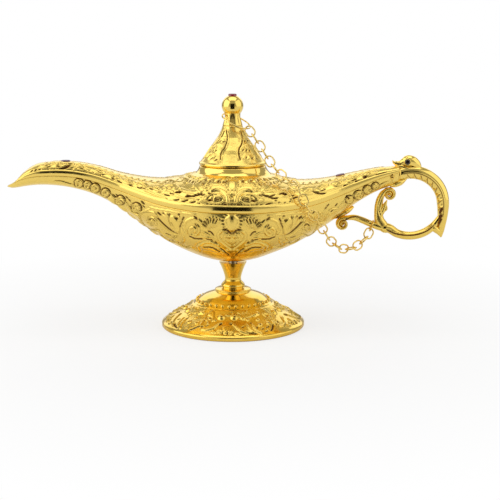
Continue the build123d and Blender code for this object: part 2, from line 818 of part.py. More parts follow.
# Rising scroll between the arm and the tail
branch_shares = ((0.25, 0.0), (0.0, 0.30), (0.05, 0.55), (0.22, 0.78), (0.45, 1.0))
branch_foot_share = 0.73
branch_top_share = 0.7
branch_taper_shares = (1.1, 1.0, 1.0, 1.0, 0.9)
branch_foot = (
    arc_end[0] - branch_foot_share * volute_radius, arc_end[1] + arm_half + 2 * seat_gap
)
branch_run = high_volute_x - branch_foot[0]
branch_rise = high_volute_z + volute_radius * branch_top_share - branch_foot[1]
branch_points = [(branch_foot[0] + along * branch_run, branch_foot[1] + up * branch_rise)
                 for along, up in branch_shares]
with BuildPart() as loop_envelope:
    add(bar(arm_points, [arm_half + seat_gap] * len(arm_points),
            [arm_half + seat_gap] * len(arm_points), first_run=(-1, 0)))
    add(bar(arc_points, [half + seat_gap for half in arc_halves],
            [half + seat_gap for half in arc_halves]))
with BuildPart() as rising_scroll:
    add(bar(branch_points, [branch_half * share for share in branch_taper_shares],
            [branch_depth_half * share for share in branch_taper_shares], first_run=(-1, 2)))
    add(volute(high_volute_x, high_volute_z))
    add(bowl_envelope.part, mode=Mode.SUBTRACT)
    add(loop_envelope.part, mode=Mode.SUBTRACT)
rising_scroll.part.label = "rising_scroll"
export_step(rising_scroll.part, "parts/rising_scroll.step")

# Ring round the lid's neck, drooping towards the chain
droop = Vector(cos(radians(top_ring_turn)), sin(radians(top_ring_turn)), 0)
ring_slope = droop * cos(radians(top_ring_tilt)) - Vector(0, 0, sin(radians(top_ring_tilt)))
ring_side = Vector(-sin(radians(top_ring_turn)), cos(radians(top_ring_turn)), 0)
ring_reach = top_ring_radius * cos(radians(top_ring_tilt))
ring_offset = ring_reach - neck_top_radius - wire / 2 - running_gap
ring_centre = droop * ring_offset + Vector(0, 0, lid_top + neck_height - top_ring_drop)
with BuildPart() as chain_top_ring:
    with BuildLine(Plane(origin=ring_centre, x_dir=ring_slope,
                         z_dir=ring_slope.cross(ring_side))) as top_ring_path:
        CenterArc((0, 0), top_ring_radius, 0, 360)
    with BuildSketch(Plane(origin=ring_centre + ring_slope * top_ring_radius, x_dir=ring_slope,
                           z_dir=ring_side)):
        Circle(wire / 2)
    sweep(path=top_ring_path.line)
chain_top_ring.part.label = "chain_top_ring"
export_step(chain_top_ring.part, "parts/chain_top_ring.step")

# Way of the chain: shares of the tail's reach, the half width and the collar's height
route_shares = (
    (0.769, -0.193, 0.525), (0.685, -0.347, 0.502), (0.603, -0.493, 0.543),
    (0.540, -0.627, 0.632), (0.479, -0.743, 0.728), (0.420, -0.800, 0.815),
    (0.380, -0.720, 0.898), (0.288, -0.507, 0.963), (0.210, -0.353, 1.055),
    (0.148, -0.233, 1.151),
)

# Ring that hangs on the arm
ring_on_arm_x = branch_foot[0] - ring_stand_off
arm_near, arm_far = [
    ends for ends in zip(arm_points, arm_points[1:]) if ends[1][0] <= ring_on_arm_x < ends[0][0]
][0]
arm_line = Vector(arm_far[0] - arm_near[0], 0, arm_far[1] - arm_near[1])
along_arm = (ring_on_arm_x - arm_near[0]) / arm_line.X
ring_on_arm_z = arm_near[1] + along_arm * arm_line.Z
arm_line = arm_line.normalized()
route_points = [
    Vector(along * tail_reach, side * bowl_half_width, up * collar_height)
    for along, side, up in route_shares
]
ring_on_arm = Vector(ring_on_arm_x, 0, ring_on_arm_z)
pull = route_points[0] - ring_on_arm
pull = (pull - arm_line * arm_line.dot(pull)).normalized()
hang = arm_ring_radius - arm_half - wire / 2 - running_gap
arm_ring_centre = ring_on_arm + pull * hang
with BuildPart() as chain_arm_ring:
    with BuildLine(Plane(origin=arm_ring_centre, x_dir=pull, z_dir=arm_line)) as ring_path:
        CenterArc((0, 0), arm_ring_radius, 0, 360)
    with BuildSketch(Plane(origin=arm_ring_centre + pull * arm_ring_radius, x_dir=pull,
                           z_dir=arm_line.cross(pull))):
        Circle(wire / 2)
    sweep(path=ring_path.line)
chain_arm_ring.part.label = "chain_arm_ring"
export_step(chain_arm_ring.part, "parts/chain_arm_ring.step")

# Route of the chain, chosen by hand, from the arm's ring to the neck's ring
hook = (wire + link_play) / 2
ring_contact = arm_ring_centre + pull * arm_ring_radius
chain_start = ring_contact - (route_points[0] - ring_contact).normalized() * hook
ring_low = ring_centre + ring_slope * top_ring_radius
chain_end = ring_low + (ring_low - route_points[-1]).normalized() * hook
with BuildLine() as route:
    Spline(chain_start, *route_points, chain_end)
route_line = route.line.edges()[0]
link_pitch = link_length - 2 * wire - link_play
link_count = 2 * ceil((route_line.length / link_pitch - 1) / 2) + 1
crossings = [route_line.position_at(index / link_count) for index in range(link_count + 1)]
print("chain links", link_count, "pitch", round(route_line.length / link_count, 3))


def chain_link(start, end, turned):
    """An oval link from one crossing to the next, turned a quarter where it is asked to be."""
    along = (end - start).normalized()
    face = Vector(0, -1, 0)
    face = (face - along * along.dot(face)).normalized()
    if turned:
        face = along.cross(face)
    centre = (start + end) * 0.5
    bend = (link_width - wire) / 2
    straight = (link_length - link_width) / 2
    with BuildPart() as link:
        with BuildLine(Plane(origin=centre, x_dir=along, z_dir=face)) as path:
            Line((-straight, -bend), (straight, -bend))
            CenterArc((straight, 0), bend, -90, 180)
            Line((straight, bend), (-straight, bend))
            CenterArc((-straight, 0), bend, 90, 180)
        with BuildSketch(Plane(origin=centre + along.cross(face) * bend, x_dir=face, z_dir=along)):
            Circle(wire / 2)
        sweep(path=path.wires()[0])
    return link.part


for index in range(link_count):
    name = f"chain_link_{index + 1:02d}"
    link = chain_link(crossings[index], crossings[index + 1], index % 2 == 1)
    link.label = name
    export_step(link, f"parts/{name}.step")
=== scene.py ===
# %% [markdown]
# A brass oil lamp in the genie form. The imported solids come in first as a fixed frame, in metres:
# the spout points along -X, the handle along +X, and the foot stands on the floor at Z = 0. The
# looks are built round that frame, one casting at a time, and a piece that takes the place of
# solids hides them.

# %% Load the frame
import bmesh
import bpy
import math
import numpy as np
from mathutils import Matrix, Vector


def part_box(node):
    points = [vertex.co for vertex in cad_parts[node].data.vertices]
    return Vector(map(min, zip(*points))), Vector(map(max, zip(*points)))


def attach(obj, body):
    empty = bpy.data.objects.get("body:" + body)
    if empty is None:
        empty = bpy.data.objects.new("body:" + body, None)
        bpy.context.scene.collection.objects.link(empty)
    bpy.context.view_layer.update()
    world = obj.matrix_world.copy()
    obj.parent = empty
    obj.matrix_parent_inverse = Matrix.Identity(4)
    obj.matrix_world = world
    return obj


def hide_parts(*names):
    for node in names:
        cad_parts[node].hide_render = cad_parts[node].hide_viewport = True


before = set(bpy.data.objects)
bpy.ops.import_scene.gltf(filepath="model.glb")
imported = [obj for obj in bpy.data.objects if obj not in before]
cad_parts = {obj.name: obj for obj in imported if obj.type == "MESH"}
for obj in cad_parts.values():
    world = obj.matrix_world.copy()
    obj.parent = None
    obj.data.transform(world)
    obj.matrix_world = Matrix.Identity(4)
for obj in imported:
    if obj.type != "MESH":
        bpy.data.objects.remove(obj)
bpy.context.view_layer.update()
MM = 0.001
root = "root"


def new_object(name, data):
    """A new object, linked to the scene."""
    made = bpy.data.objects.new(name, data)
    bpy.context.scene.collection.objects.link(made)
    return made


# %% [markdown]
# The camera comes first, because everything is judged through it. The picture was taken from a
# little above the lamp and about half a metre away, so near things look larger than far ones. The
# picture is 500 by 500, and 240 mm of the lamp's middle plane spans its width.

# %% Camera
picture_pixels, picture_span, camera_away, sensor_width = 500, 240, 559, 36
camera_rise = math.radians(10.3)
camera_aim = np.array([8.2, 0.0, 36.7]) * MM
camera_distance = camera_away * MM
camera_data = bpy.data.cameras.new("picture_camera")
camera = new_object("picture_camera", camera_data)
camera.location = (
    camera_aim[0],
    -camera_distance * math.cos(camera_rise),
    camera_aim[2] + camera_distance * math.sin(camera_rise),
)
camera.rotation_euler = (math.pi / 2 - camera_rise, 0, 0)
camera_data.sensor_width = sensor_width
camera_data.lens = sensor_width * camera_away / picture_span
camera_data.clip_start = 0.01
bpy.context.scene.camera = camera
bpy.context.scene.view_settings.view_transform = "Standard"

# %% [markdown]
# Polished brass shows its surroundings more than its own colour, so the studio is part of the
# finish: a white floor, large soft panels left, right, above and behind, and a dark card and mat
# where the photographer stands. They give the dark streak down the middle of ball, stem and foot.

# %% Node helpers
def node_tree(owner):
    """The emptied node tree of a material or a world."""
    owner.use_nodes = True
    owner.node_tree.nodes.clear()
    return owner.node_tree


def new_material(name):
    """A new material and its empty node tree."""
    material = bpy.data.materials.new(name)
    return material, node_tree(material)


def add_node(tree, kind, feeds=None, **settings):
    """Adds a node with its settings. A feed gives an input a value or another node's output."""
    node = tree.nodes.new(kind)
    for key, value in settings.items():
        setattr(node, key, value)
    for key, value in (feeds or {}).items():
        if isinstance(value, bpy.types.NodeSocket):
            tree.links.new(value, node.inputs[key])
        else:
            node.inputs[key].default_value = value
    return node


def end_with(tree, shader, kind="ShaderNodeOutputMaterial"):
    """Makes a shader the end of the tree."""
    add_node(tree, kind, {0: shader.outputs[0]})


def mix_shaders(tree, share, first, second):
    """A blend of two shaders."""
    return add_node(tree, "ShaderNodeMixShader",
                    {0: share, 1: first.outputs[0], 2: second.outputs[0]})


def reckon(tree, operation, *values):
    """The outcome of a Math node."""
    return add_node(tree, "ShaderNodeMath", dict(enumerate(values)), operation=operation).outputs[0]


def remap(tree, *values):
    """A value taken from one range to another: value, from low, from high, to low, to high."""
    names = ("Value", "From Min", "From Max", "To Min", "To Max")
    return add_node(tree, "ShaderNodeMapRange", dict(zip(names, values))).outputs[0]


def object_place(tree):
    """The place on the piece."""
    return add_node(tree, "ShaderNodeTexCoord").outputs["Object"]


def noise(tree, scale, detail, roughness=0.5):
    """Soft noise that stays on the piece."""
    return add_node(tree, "ShaderNodeTexNoise", {
        "Vector": object_place(tree), "Scale": scale, "Detail": detail, "Roughness": roughness,
    }).outputs[0]


def mix_colour(tree, share, first, second):
    """A colour between two, each given as a colour or as a node's output."""
    first, second = (c if isinstance(c, bpy.types.NodeSocket) else (*c, 1) for c in (first, second))
    feeds = {0: share, 6: first, 7: second}
    return add_node(tree, "ShaderNodeMix", feeds, data_type="RGBA").outputs[2]


def plane_object(name, corners, material):
    """A flat panel of the studio, from four corners in metres."""
    mesh = bpy.data.meshes.new(name)
    mesh.from_pydata(corners, [], [(0, 1, 2, 3)])
    mesh.materials.append(material)
    panel = new_object(name, mesh)
    return panel


# %% Floor
floor_reach, fade_from, fade_to, glow_near, glow_far = 3.0, 0.08, 0.22, 0.72, 1.0
floor_material, tree = new_material("pale_floor")
matte = add_node(tree, "ShaderNodeBsdfDiffuse", {"Color": (0.86, 0.86, 0.86, 1)})
glow = add_node(tree, "ShaderNodeEmission", {"Color": (1, 1, 1, 1), "Strength": 1.0})
far = add_node(tree, "ShaderNodeVectorMath", {0: object_place(tree)}, operation="LENGTH")
fade = remap(tree, far.outputs["Value"], fade_from, fade_to, glow_near, glow_far)
seen = add_node(tree, "ShaderNodeLightPath").outputs["Is Camera Ray"]
end_with(tree, mix_shaders(tree, reckon(tree, "MULTIPLY", seen, fade), matte, glow))
plane_object("studio_floor", [(x * floor_reach, y * floor_reach, 0)
                              for x, y in ((-1, -1), (1, -1), (1, 1), (-1, 1))], floor_material)

# %% World
world = bpy.data.worlds.new("studio_air")
bpy.context.scene.world = world
tree = node_tree(world)
seen = add_node(tree, "ShaderNodeBackground", {"Color": (1, 1, 1, 1), "Strength": 1.0})
felt = add_node(tree, "ShaderNodeBackground", {"Color": (1, 0.985, 0.96, 1), "Strength": 0.4})
path = add_node(tree, "ShaderNodeLightPath").outputs
direct = reckon(tree, "MAXIMUM", path["Is Camera Ray"], path["Is Transmission Ray"])
end_with(tree, mix_shaders(tree, direct, felt, seen), "ShaderNodeOutputWorld")

# %% Softboxes
softbox_aim = (0, 0, 0.06)
for name, place, width, height, watts in (
    ("left_softbox", (-0.78, -0.2, 0.42), 1.15, 0.9, 4.1),
    ("right_softbox", (0.78, -0.2, 0.42), 1.15, 0.9, 2.4),
    ("top_softbox", (0.0, -0.05, 0.9), 0.9, 0.7, 2.3),
    ("back_softbox", (0.0, 0.9, 0.5), 1.4, 0.6, 2.4),
):
    data = bpy.data.lights.new(name, "AREA")
    data.shape = "RECTANGLE"
    data.size, data.size_y, data.energy = width, height, watts
    lamp = new_object(name, data)
    lamp.location = place
    way = np.array(softbox_aim) - np.array(place)
    lamp.rotation_euler = Vector(way).to_track_quat("-Z", "Y").to_euler()

# %% Dark card and mat in front of the lamp
card_half, card_y, card_top, mat_z, mat_half, mat_y = 0.33, -0.8, 0.5, 0.0006, 0.07, -0.16
card_material, tree = new_material("dark_card")
end_with(tree, add_node(tree, "ShaderNodeBsdfDiffuse", {"Color": (0.012, 0.011, 0.01, 1)}))
for name, corners in (
    ("dark_card", [(-card_half, card_y, 0), (card_half, card_y, 0), (card_half, card_y, card_top),
                   (-card_half, card_y, card_top)]),
    ("dark_mat", [(-mat_half, mat_y, mat_z), (-card_half, card_y, mat_z),
                  (card_half, card_y, mat_z), (mat_half, mat_y, mat_z)]),
):
    card = plane_object(name, corners, card_material)
    card.visible_camera = card.visible_diffuse = card.visible_shadow = False

# %% [markdown]
# Brass. The colour lives in the metal's base colour, and the cast relief gets its depth from two
# things: a vertex attribute, written when each relief is made, which is 1 at the bottom of a cut
# and 0 on a ridge, and a fine bump for the cast skin. Where the attribute is high, in the cuts and
# beside the ridges, the base colour is painted a deep dark orange as shade, and the metal gets
# duller, as the polishing wheel never reaches there. Low on the piece the colour is painted darker
# and more orange as shade.

# %% Brass
gold_bright = (0.96, 0.7, 0.17)
painted_shade_gold = (0.13, 0.05, 0.012)
gold_shaded_low = (0.84, 0.52, 0.05)
low_shade_from, low_shade_to = 0.062, 0.028


def brass(name, bright, shine, skin):
    """Polished brass with duller cuts painted a deeper colour as shade, and a darker, warmer colour
    painted low on the piece as shade.
    """
    material, tree = new_material(name)
    shade_and_dullness = add_node(tree, "ShaderNodeAttribute", attribute_name="shade_and_dullness").outputs["Fac"]
    height = add_node(tree, "ShaderNodeSeparateXYZ", {0: object_place(tree)}).outputs["Z"]
    cloud = noise(tree, 140.0, 3.0, 0.55)
    # Painted shade: the colour turns darker and more orange towards the bottom, unevenly.
    low = reckon(tree, "MULTIPLY", remap(tree, height, low_shade_from, low_shade_to, 0.0, 1.0), cloud)
    tint = mix_colour(tree, low, bright, gold_shaded_low)
    rough = remap(tree, cloud, 0.0, 1.0, shine, shine + 0.1)
    bump = add_node(tree, "ShaderNodeBump", {
        "Strength": skin, "Distance": 0.0002, "Height": noise(tree, 900.0, 2.0),
    })
    end_with(tree, add_node(tree, "ShaderNodeBsdfPrincipled", {
        "Metallic": 1.0,
        # Painted shade: the cuts and the ground beside the ridges are coloured deep dark orange.
        "Base Color": mix_colour(tree, shade_and_dullness, tint, painted_shade_gold),
        "Roughness": reckon(tree, "MULTIPLY_ADD", shade_and_dullness, 0.3, rough),
        "Normal": bump.outputs[0],
    }))
    return material


polished = brass("polished_brass", gold_bright, 0.07, 0.04)
carved = brass("carved_brass", gold_bright, 0.19, 0.2)
wire_brass = brass("wire_brass", (0.9, 0.68, 0.22), 0.12, 0.06)


# %% Glass stones and steel
def gem(name, colour):
    """A dark glass stone: nearly black in the body, with a clear glossy skin."""
    material, tree = new_material(name)
    dim, lit = [v * 0.4 for v in colour], [min(v * 1.7, 1) for v in colour]
    end_with(tree, add_node(tree, "ShaderNodeBsdfPrincipled", {
        "Base Color": mix_colour(tree, noise(tree, 700.0, 2.0), dim, lit),
        "Roughness": 0.05, "IOR": 1.6, "Coat Weight": 0.6, "Coat Roughness": 0.03,
    }))
    return material


def plain_steel(name):
    """Bright zinc-plated steel of screws and nuts, with a fine grain."""
    material, tree = new_material(name)
    cloud = noise(tree, 1200.0, 3.0)
    end_with(tree, add_node(tree, "ShaderNodeBsdfPrincipled", {
        "Metallic": 1.0,
        "Base Color": mix_colour(tree, cloud, (0.5, 0.5, 0.49), (0.68, 0.67, 0.65)),
        "Roughness": remap(tree, cloud, 0.0, 1.0, 0.28, 0.45),
    }))
    return material


stone_finish = {
    "finial_stone": gem("dark_red_glass", (0.22, 0.01, 0.02)),
    "spout_stone": gem("purple_glass", (0.09, 0.02, 0.12)),
    "tail_stone": gem("maroon_glass", (0.14, 0.012, 0.03)),
}
black_glass = gem("black_glass", (0.02, 0.012, 0.01))
steel = plain_steel("zinc_steel")

# %% [markdown]
# The pieces whose solids are already right keep their shape and only get their finish: the rings
# and links of the chain, the stem, the fasteners and the stones.

# %% Finish of the pieces that stay
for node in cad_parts:
    if node.startswith("chain_"):
        finish = wire_brass
    elif node.endswith("_stone"):
        finish = stone_finish.get(node, black_glass)
    else:
        finish = steel if node in ("tie_screw", "tie_washer", "finial_nut") else polished
    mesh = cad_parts[node].data
    mesh.materials.clear()
    mesh.materials.append(finish)

# %% [markdown]
# The vessel is a boat-shaped bowl under a domed crown. Both were cast from a carved pattern, so
# the carving is part of the wall. Here each casting is one grid of points laid over its sections:
# first smooth, then pushed out and cut in along its normals. The sections are the same stations as
# in the solid: share of the reach, of the half width, the seam's rise, the crown and the keel.

# %% Sections of the vessel
spout_reach, tail_reach, bowl_half_width = 106.8, 78.5, 30.0
seam_height, bowl_depth, crown_rise, shell_wall = 58.8, 27.2, 18.2, 1.8
band_height = 3.2
spout_shares = [
    (1.000, 0.040, 0.335, 0.0, 0.026), (0.980, 0.113, 0.371, 0.0, 0.077),
    (0.957, 0.160, 0.412, 0.044, 0.110), (0.930, 0.190, 0.456, 0.154, 0.136),
    (0.880, 0.217, 0.507, 0.280, 0.162), (0.800, 0.230, 0.529, 0.341, 0.184),
    (0.700, 0.243, 0.511, 0.357, 0.224), (0.600, 0.280, 0.430, 0.374, 0.268),
    (0.500, 0.367, 0.305, 0.379, 0.357), (0.400, 0.517, 0.176, 0.456, 0.507),
    (0.300, 0.693, 0.081, 0.566, 0.691), (0.200, 0.843, 0.030, 0.753, 0.838),
    (0.100, 0.960, 0.007, 0.934, 0.952), (0.000, 1.000, 0.000, 1.000, 1.000),
]
tail_shares = [
    (0.125, 0.963, -0.007, 0.956, 0.945), (0.250, 0.860, 0.000, 0.786, 0.831),
    (0.375, 0.720, 0.026, 0.615, 0.706), (0.500, 0.567, 0.088, 0.527, 0.559),
    (0.625, 0.420, 0.195, 0.445, 0.430), (0.750, 0.307, 0.331, 0.363, 0.294),
    (0.875, 0.223, 0.474, 0.253, 0.232), (1.000, 0.147, 0.581, 0.148, 0.206),
]
stations = np.array(
    [(-a * spout_reach, w, s, c, k) for a, w, s, c, k in spout_shares]
    + [(a * tail_reach, w, s, c, k) for a, w, s, c, k in tail_shares]
)
station_x = stations[:, 0]
station_values = stations[:, 1:] * [bowl_half_width, bowl_depth, crown_rise, bowl_depth]


def smooth_between(x, known_x, known):
    """A smooth curve through known points: cubic pieces with the slope of their neighbours."""
    slope = np.gradient(known, known_x, axis=0)
    index = np.clip(np.searchsorted(known_x, x) - 1, 0, len(known_x) - 2)
    span = known_x[index + 1] - known_x[index]
    t = ((x - known_x[index]) / span)[..., None]
    span = span[..., None]
    a, b = known[index], known[index + 1]
    return (
        (2 * t**3 - 3 * t**2 + 1) * a + (t**3 - 2 * t**2 + t) * span * slope[index]
        + (3 * t**2 - 2 * t**3) * b + (t**3 - t**2) * span * slope[index + 1]
    )


def section_at(x):
    """Half width, seam height, crown and keel at each x, in millimetres."""
    x = np.clip(np.asarray(x, float), station_x[0], station_x[-1])
    found = smooth_between(x, station_x, station_values)
    width, seam, crown, keel = (found[..., index] for index in range(4))
    return width, seam_height + seam, np.maximum(crown, 0.05), keel


def half_ring(x, width, base, turn, rise):
    """Points on half an oval over or under a section. Turn is 0 in front and 180 at the back."""
    t = np.radians(turn)
    return np.stack([x + 0 * t, -width * np.cos(t), base + rise * np.sin(t)], -1)


def bowl_point(x, turn):
    """A point of the bowl. Turn is 0 at the front seam, 90 at the keel and 180 at the back."""
    width, seam, _, keel = section_at(x)
    return half_ring(x, width, seam, turn, -keel)


def crown_base(x):
    """Height of the band's bevel above the seam, where the crown's arc starts."""
    return np.minimum(band_height, section_at(x)[2] * 0.42) * 1.16


def crown_point(x, turn):
    """A point of the crown. Turn is 0 at the front edge, 90 on top and 180 at the back."""
    width, seam, crown, _ = section_at(x)
    base = crown_base(x)
    return half_ring(x, width, seam + base, turn, crown - base)


# %% [markdown]
# The ornament was read off the picture. A place in the picture is turned into a place on the
# casting by sending a ray from the camera and finding where it meets the front of the surface,
# kept as x and turn. The same pair then gives the mirrored place on the back, and on the tail's
# half, so a scroll always lies on the metal whatever the view.

# %% Picture places
def picture_ray(px, py):
    """Start and direction of the ray through a place of the picture, in millimetres."""
    side = (px - picture_pixels / 2) * picture_span / picture_pixels
    rise = (picture_pixels / 2 - py) * picture_span / picture_pixels
    c, s = math.cos(camera_rise), math.sin(camera_rise)
    way = np.array([side, camera_away * c + rise * s, -camera_away * s + rise * c])
    return np.array(camera.location) / MM, way


coarse_looks, fine_looks, ray_rounds = 60, 30, 8


def place_on(surface, px, py, turn_limits):
    """The x and turn of the surface point that the picture shows at px, py."""
    start, way = picture_ray(px, py)

    def miss(x, turns):
        """How far the ray passes from each point, and how far along the ray that is."""
        points = surface(np.full(len(turns), x), turns)
        reach = (points[:, 1] - start[1]) / way[1]
        return np.abs(start[2] + way[2] * reach - points[:, 2]), reach

    turns, x = np.linspace(*turn_limits, coarse_looks), start[0] + way[0]
    for _ in range(ray_rounds):
        gap, reach = miss(x, turns)
        best = int(np.argmin(gap))
        x = start[0] + way[0] * reach[best]
    if 0 < best < coarse_looks - 1:
        turns = np.linspace(turns[best - 1], turns[best + 1], fine_looks)
        best = int(np.argmin(miss(x, turns)[0]))
    return x, turns[best]


def flowing(points, steps=7):
    """More points on a smooth curve through a few points."""
    points = np.array(points, float)
    if len(points) < 3:
        return points
    known = np.arange(len(points), dtype=float)
    fine = np.linspace(0, len(points) - 1, (len(points) - 1) * steps + 1)
    return smooth_between(fine, known, points)


def spiral(cx, cy, radius, start, turns, end_share=0.25, steps=16, more=2):
    """Places on a spiral, from outside in, that ends at a share of the radius."""
    share = np.linspace(0, 1, int(abs(turns) * steps) + more)
    angle = math.radians(start) + share * turns * 2 * math.pi
    grow = radius * (1 - share * (1 - end_share))
    return np.stack([cx + grow * np.cos(angle), cy + grow * np.sin(angle)], -1).tolist()


def pits(places, half=0.42, depth=0.45, long=0.0, slant=0.0):
    """Punched pits in the picture, each as long as asked and slanted by degrees."""
    dx, dy = long / 2 * math.cos(math.radians(slant)), long / 2 * math.sin(math.radians(slant))
    return [("cut", half, depth, [(x - dx, y - dy), (x + dx, y + dy)]) for x, y in places]


def read_marks(sheet):
    """Marks from a pattern sheet. A row has its kind, its sizes and its places in the picture, as
    x,y. A line that starts with spaces goes on with the row above. After the word spiral come the
    radius, start, turns and end share of a curl round the row's one place. The sizes are half
    width and height, and on a bar also the plane the mark is carved in."""
    marks = []
    for row in sheet.strip().replace("\n    ", " ").splitlines():
        head, curled, curl = row.partition("spiral")
        kind, *words = head.split()
        sizes = [float(word) for word in words if "," not in word]
        places = [tuple(float(v) for v in word.split(",")) for word in words if "," in word]
        if kind == "pits":
            marks += pits(places, *sizes)
            continue
        if curled:
            places = spiral(*places[0], *(float(v) for v in curl.split()))
        marks.append((kind, *sizes, places))
    return marks


# %% [markdown]
# A casting holds the grid of one carved surface. Ridges and cuts are lines in space: every grid
# point near a line moves out or in by a rounded profile of its distance. Cuts also raise the
# painted shade that the brass reads, and so does the ground beside a ridge.

# %% Carved grids
class Casting:
    """A grid of points over a surface, with its outward normals, its relief and its painted shade.
    """

    def __init__(self, points, outward):
        self.points = points
        along = np.gradient(points, axis=0)
        across = np.gradient(points, axis=1)
        normal = np.cross(along, across)
        normal /= np.maximum(np.linalg.norm(normal, axis=-1, keepdims=True), 1e-9)
        self.normal = normal * outward
        self.rise = np.zeros(points.shape[:2])
        self.shade_and_dullness = np.zeros(points.shape[:2])
        self.order = points[:, :, 0].mean(1)

    def near(self, line, reach):
        """The columns beside a line, and how far each of their points is from it."""
        line = np.asarray(line, float)
        first, last = 0, len(self.points)
        if self.order[0] < self.order[-1] - 1:
            first = int(np.searchsorted(self.order, line[:, 0].min() - reach))
            last = int(np.searchsorted(self.order, line[:, 0].max() + reach))
        part = self.points[first:last]
        gap = np.full(part.shape[:2], 1e9)
        ends = zip(line[:-1], line[1:]) if len(line) > 1 else [(line[0], line[0])]
        for a, b in ends:
            way = b - a
            long = max(float(way @ way), 1e-12)
            t = np.clip((part - a) @ way / long, 0, 1)[..., None]
            gap = np.minimum(gap, np.sqrt(((part - a - t * way) ** 2).sum(-1)))
        return slice(first, last), gap

    def ridge(self, line, half, height, ground=0.0):
        """A rounded ridge along a line, with a sunk ground beside it that is painted with shade."""
        where, gap = self.near(line, half * 2.6)
        swell = height * np.sqrt(np.clip(1 - (gap / half) ** 2, 0, 1))
        beside = np.clip(1 - (gap - half) / (half * 1.2), 0, 1) * (gap > half * 0.8)
        self.rise[where] = np.where(swell > 0, np.maximum(self.rise[where], swell),
                                    self.rise[where] - ground * beside)
        # Painted shade on the ground beside the ridge, cleared on the ridge's top.
        self.shade_and_dullness[where] = np.where(swell > 0.15 * height, self.shade_and_dullness[where] * 0.3,
                                      np.maximum(self.shade_and_dullness[where], 0.26 * beside))

    def cut(self, line, half, depth, shade=1.0):
        """A rounded cut along a line, painted with shade at its bottom."""
        where, gap = self.near(line, half * 1.5)
        bite = np.clip(1 - (gap / half) ** 2, 0, 1)
        self.rise[where] -= depth * bite
        # Painted shade in the cut.
        self.shade_and_dullness[where] = np.maximum(self.shade_and_dullness[where], shade * np.clip(bite * 1.6, 0, 1))

    def swell(self, line, half, height):
        """A broad soft swelling, for the body of a leaf or a bud, that clears most painted shade
        from its top.
        """
        where, gap = self.near(line, half * 1.2)
        self.rise[where] += height * np.clip(1 - (gap / half) ** 2, 0, 1) ** 0.7
        self.shade_and_dullness[where] *= np.where(gap < half * 0.9, 0.4, 1)

    def mark(self, kind, line, half, height, ground=0.0):
        """One mark of any kind along a line."""
        if kind == "line":
            self.ridge(line, half, height, ground)
        else:
            {"swell": self.swell, "cut": self.cut}[kind](line, half, height)

    def copy_to_back(self):
        """Repeats the front half's relief and painted shade on the back."""
        middle = self.rise.shape[1] // 2
        for values in (self.rise, self.shade_and_dullness):
            values[:, -middle:] = values[:, :middle][:, ::-1]

    def carved(self):
        """The points pushed out or in by the relief."""
        return self.points + self.normal * self.rise[..., None]


def zip_rows(a, b):
    """Triangles between two rows of point numbers of any lengths."""
    faces, i, j = [], 0, 0
    while i < len(a) - 1 or j < len(b) - 1:
        go_a = (i + 1) / max(len(a) - 1, 1) <= (j + 1) / max(len(b) - 1, 1)
        if (go_a and i < len(a) - 1) or j == len(b) - 1:
            faces.append((a[i], a[i + 1], b[j]))
            i += 1
        else:
            faces.append((a[i], b[j + 1], b[j]))
            j += 1
    return faces


def grid_faces(start, columns, rows, flip=False):
    """Quads of a grid of point numbers."""
    numbers = start + np.arange(columns * rows).reshape(columns, rows)
    quads = np.stack([numbers[:-1, :-1], numbers[1:, :-1], numbers[1:, 1:], numbers[:-1, 1:]], -1)
    quads = quads.reshape(-1, 4)
    return (quads[:, ::-1] if flip else quads).tolist(), numbers


def mesh_in_mm(name, points, faces):
    """A mesh from points in millimetres."""
    mesh = bpy.data.meshes.new(name)
    mesh.from_pydata((np.asarray(points) * MM).tolist(), [], faces)
    return mesh


def make_piece(name, points, faces, nodes, shade_and_dullness=None, body=root, choose=None,
               materials=(carved, polished)):
    """Makes one finished piece from points in millimetres, and hides the solids it stands for."""
    mesh = mesh_in_mm(name, points, faces)
    for material in materials:
        mesh.materials.append(material)
    if choose is not None:
        mesh.polygons.foreach_set("material_index", np.asarray(choose, np.int32))
    mesh.polygons.foreach_set("use_smooth", np.ones(len(mesh.polygons), bool))
    # The painted shade of cuts and recesses goes on the mesh as a point attribute.
    shade = mesh.attributes.new("shade_and_dullness", "FLOAT", "POINT")
    values = np.zeros(len(mesh.vertices)) if shade_and_dullness is None else np.asarray(shade_and_dullness, float)
    shade.data.foreach_set("value", values.astype(np.float32))
    mesh.validate()
    piece = new_object(name, mesh)
    bm = bmesh.new()
    bm.from_mesh(mesh)
    bmesh.ops.recalc_face_normals(bm, faces=bm.faces)
    bm.to_mesh(mesh)
    bm.free()
    if nodes:
        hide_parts(*nodes)
    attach(piece, body)
    print(name, "faces", len(mesh.polygons))
    return piece


def closed_shell(outer, inner):
    """Points and faces of an outer grid and a coarser inner grid, joined round their edges."""
    points = np.concatenate([outer.reshape(-1, 3), inner.reshape(-1, 3)])
    outer_faces, out_n = grid_faces(0, *outer.shape[:2])
    inner_faces, in_n = grid_faces(outer.shape[0] * outer.shape[1], *inner.shape[:2], flip=True)
    rim = []
    for a, b in (
        (out_n[:, 0], in_n[:, 0]), (out_n[-1, :], in_n[-1, :]),
        (out_n[::-1, -1], in_n[::-1, -1]), (out_n[0, ::-1], in_n[0, ::-1]),
    ):
        rim += zip_rows(a.tolist(), b.tolist())
    return points, outer_faces + inner_faces + rim, len(outer_faces)

# %% Grid of the bowl
def spread(pieces):
    """Values with a different step in each stretch: (from, to, step)."""
    values = [np.arange(a, b, step) for a, b, step in pieces]
    return np.append(np.concatenate(values), pieces[-1][1])


def surface_grid(surface, x, quarter):
    """Points of a surface at each x and turn, with the turns of a quarter mirrored to the back."""
    xx, tt = np.meshgrid(x, np.concatenate([quarter[:-1], 180 - quarter[::-1]]), indexing="ij")
    return surface(xx, tt)


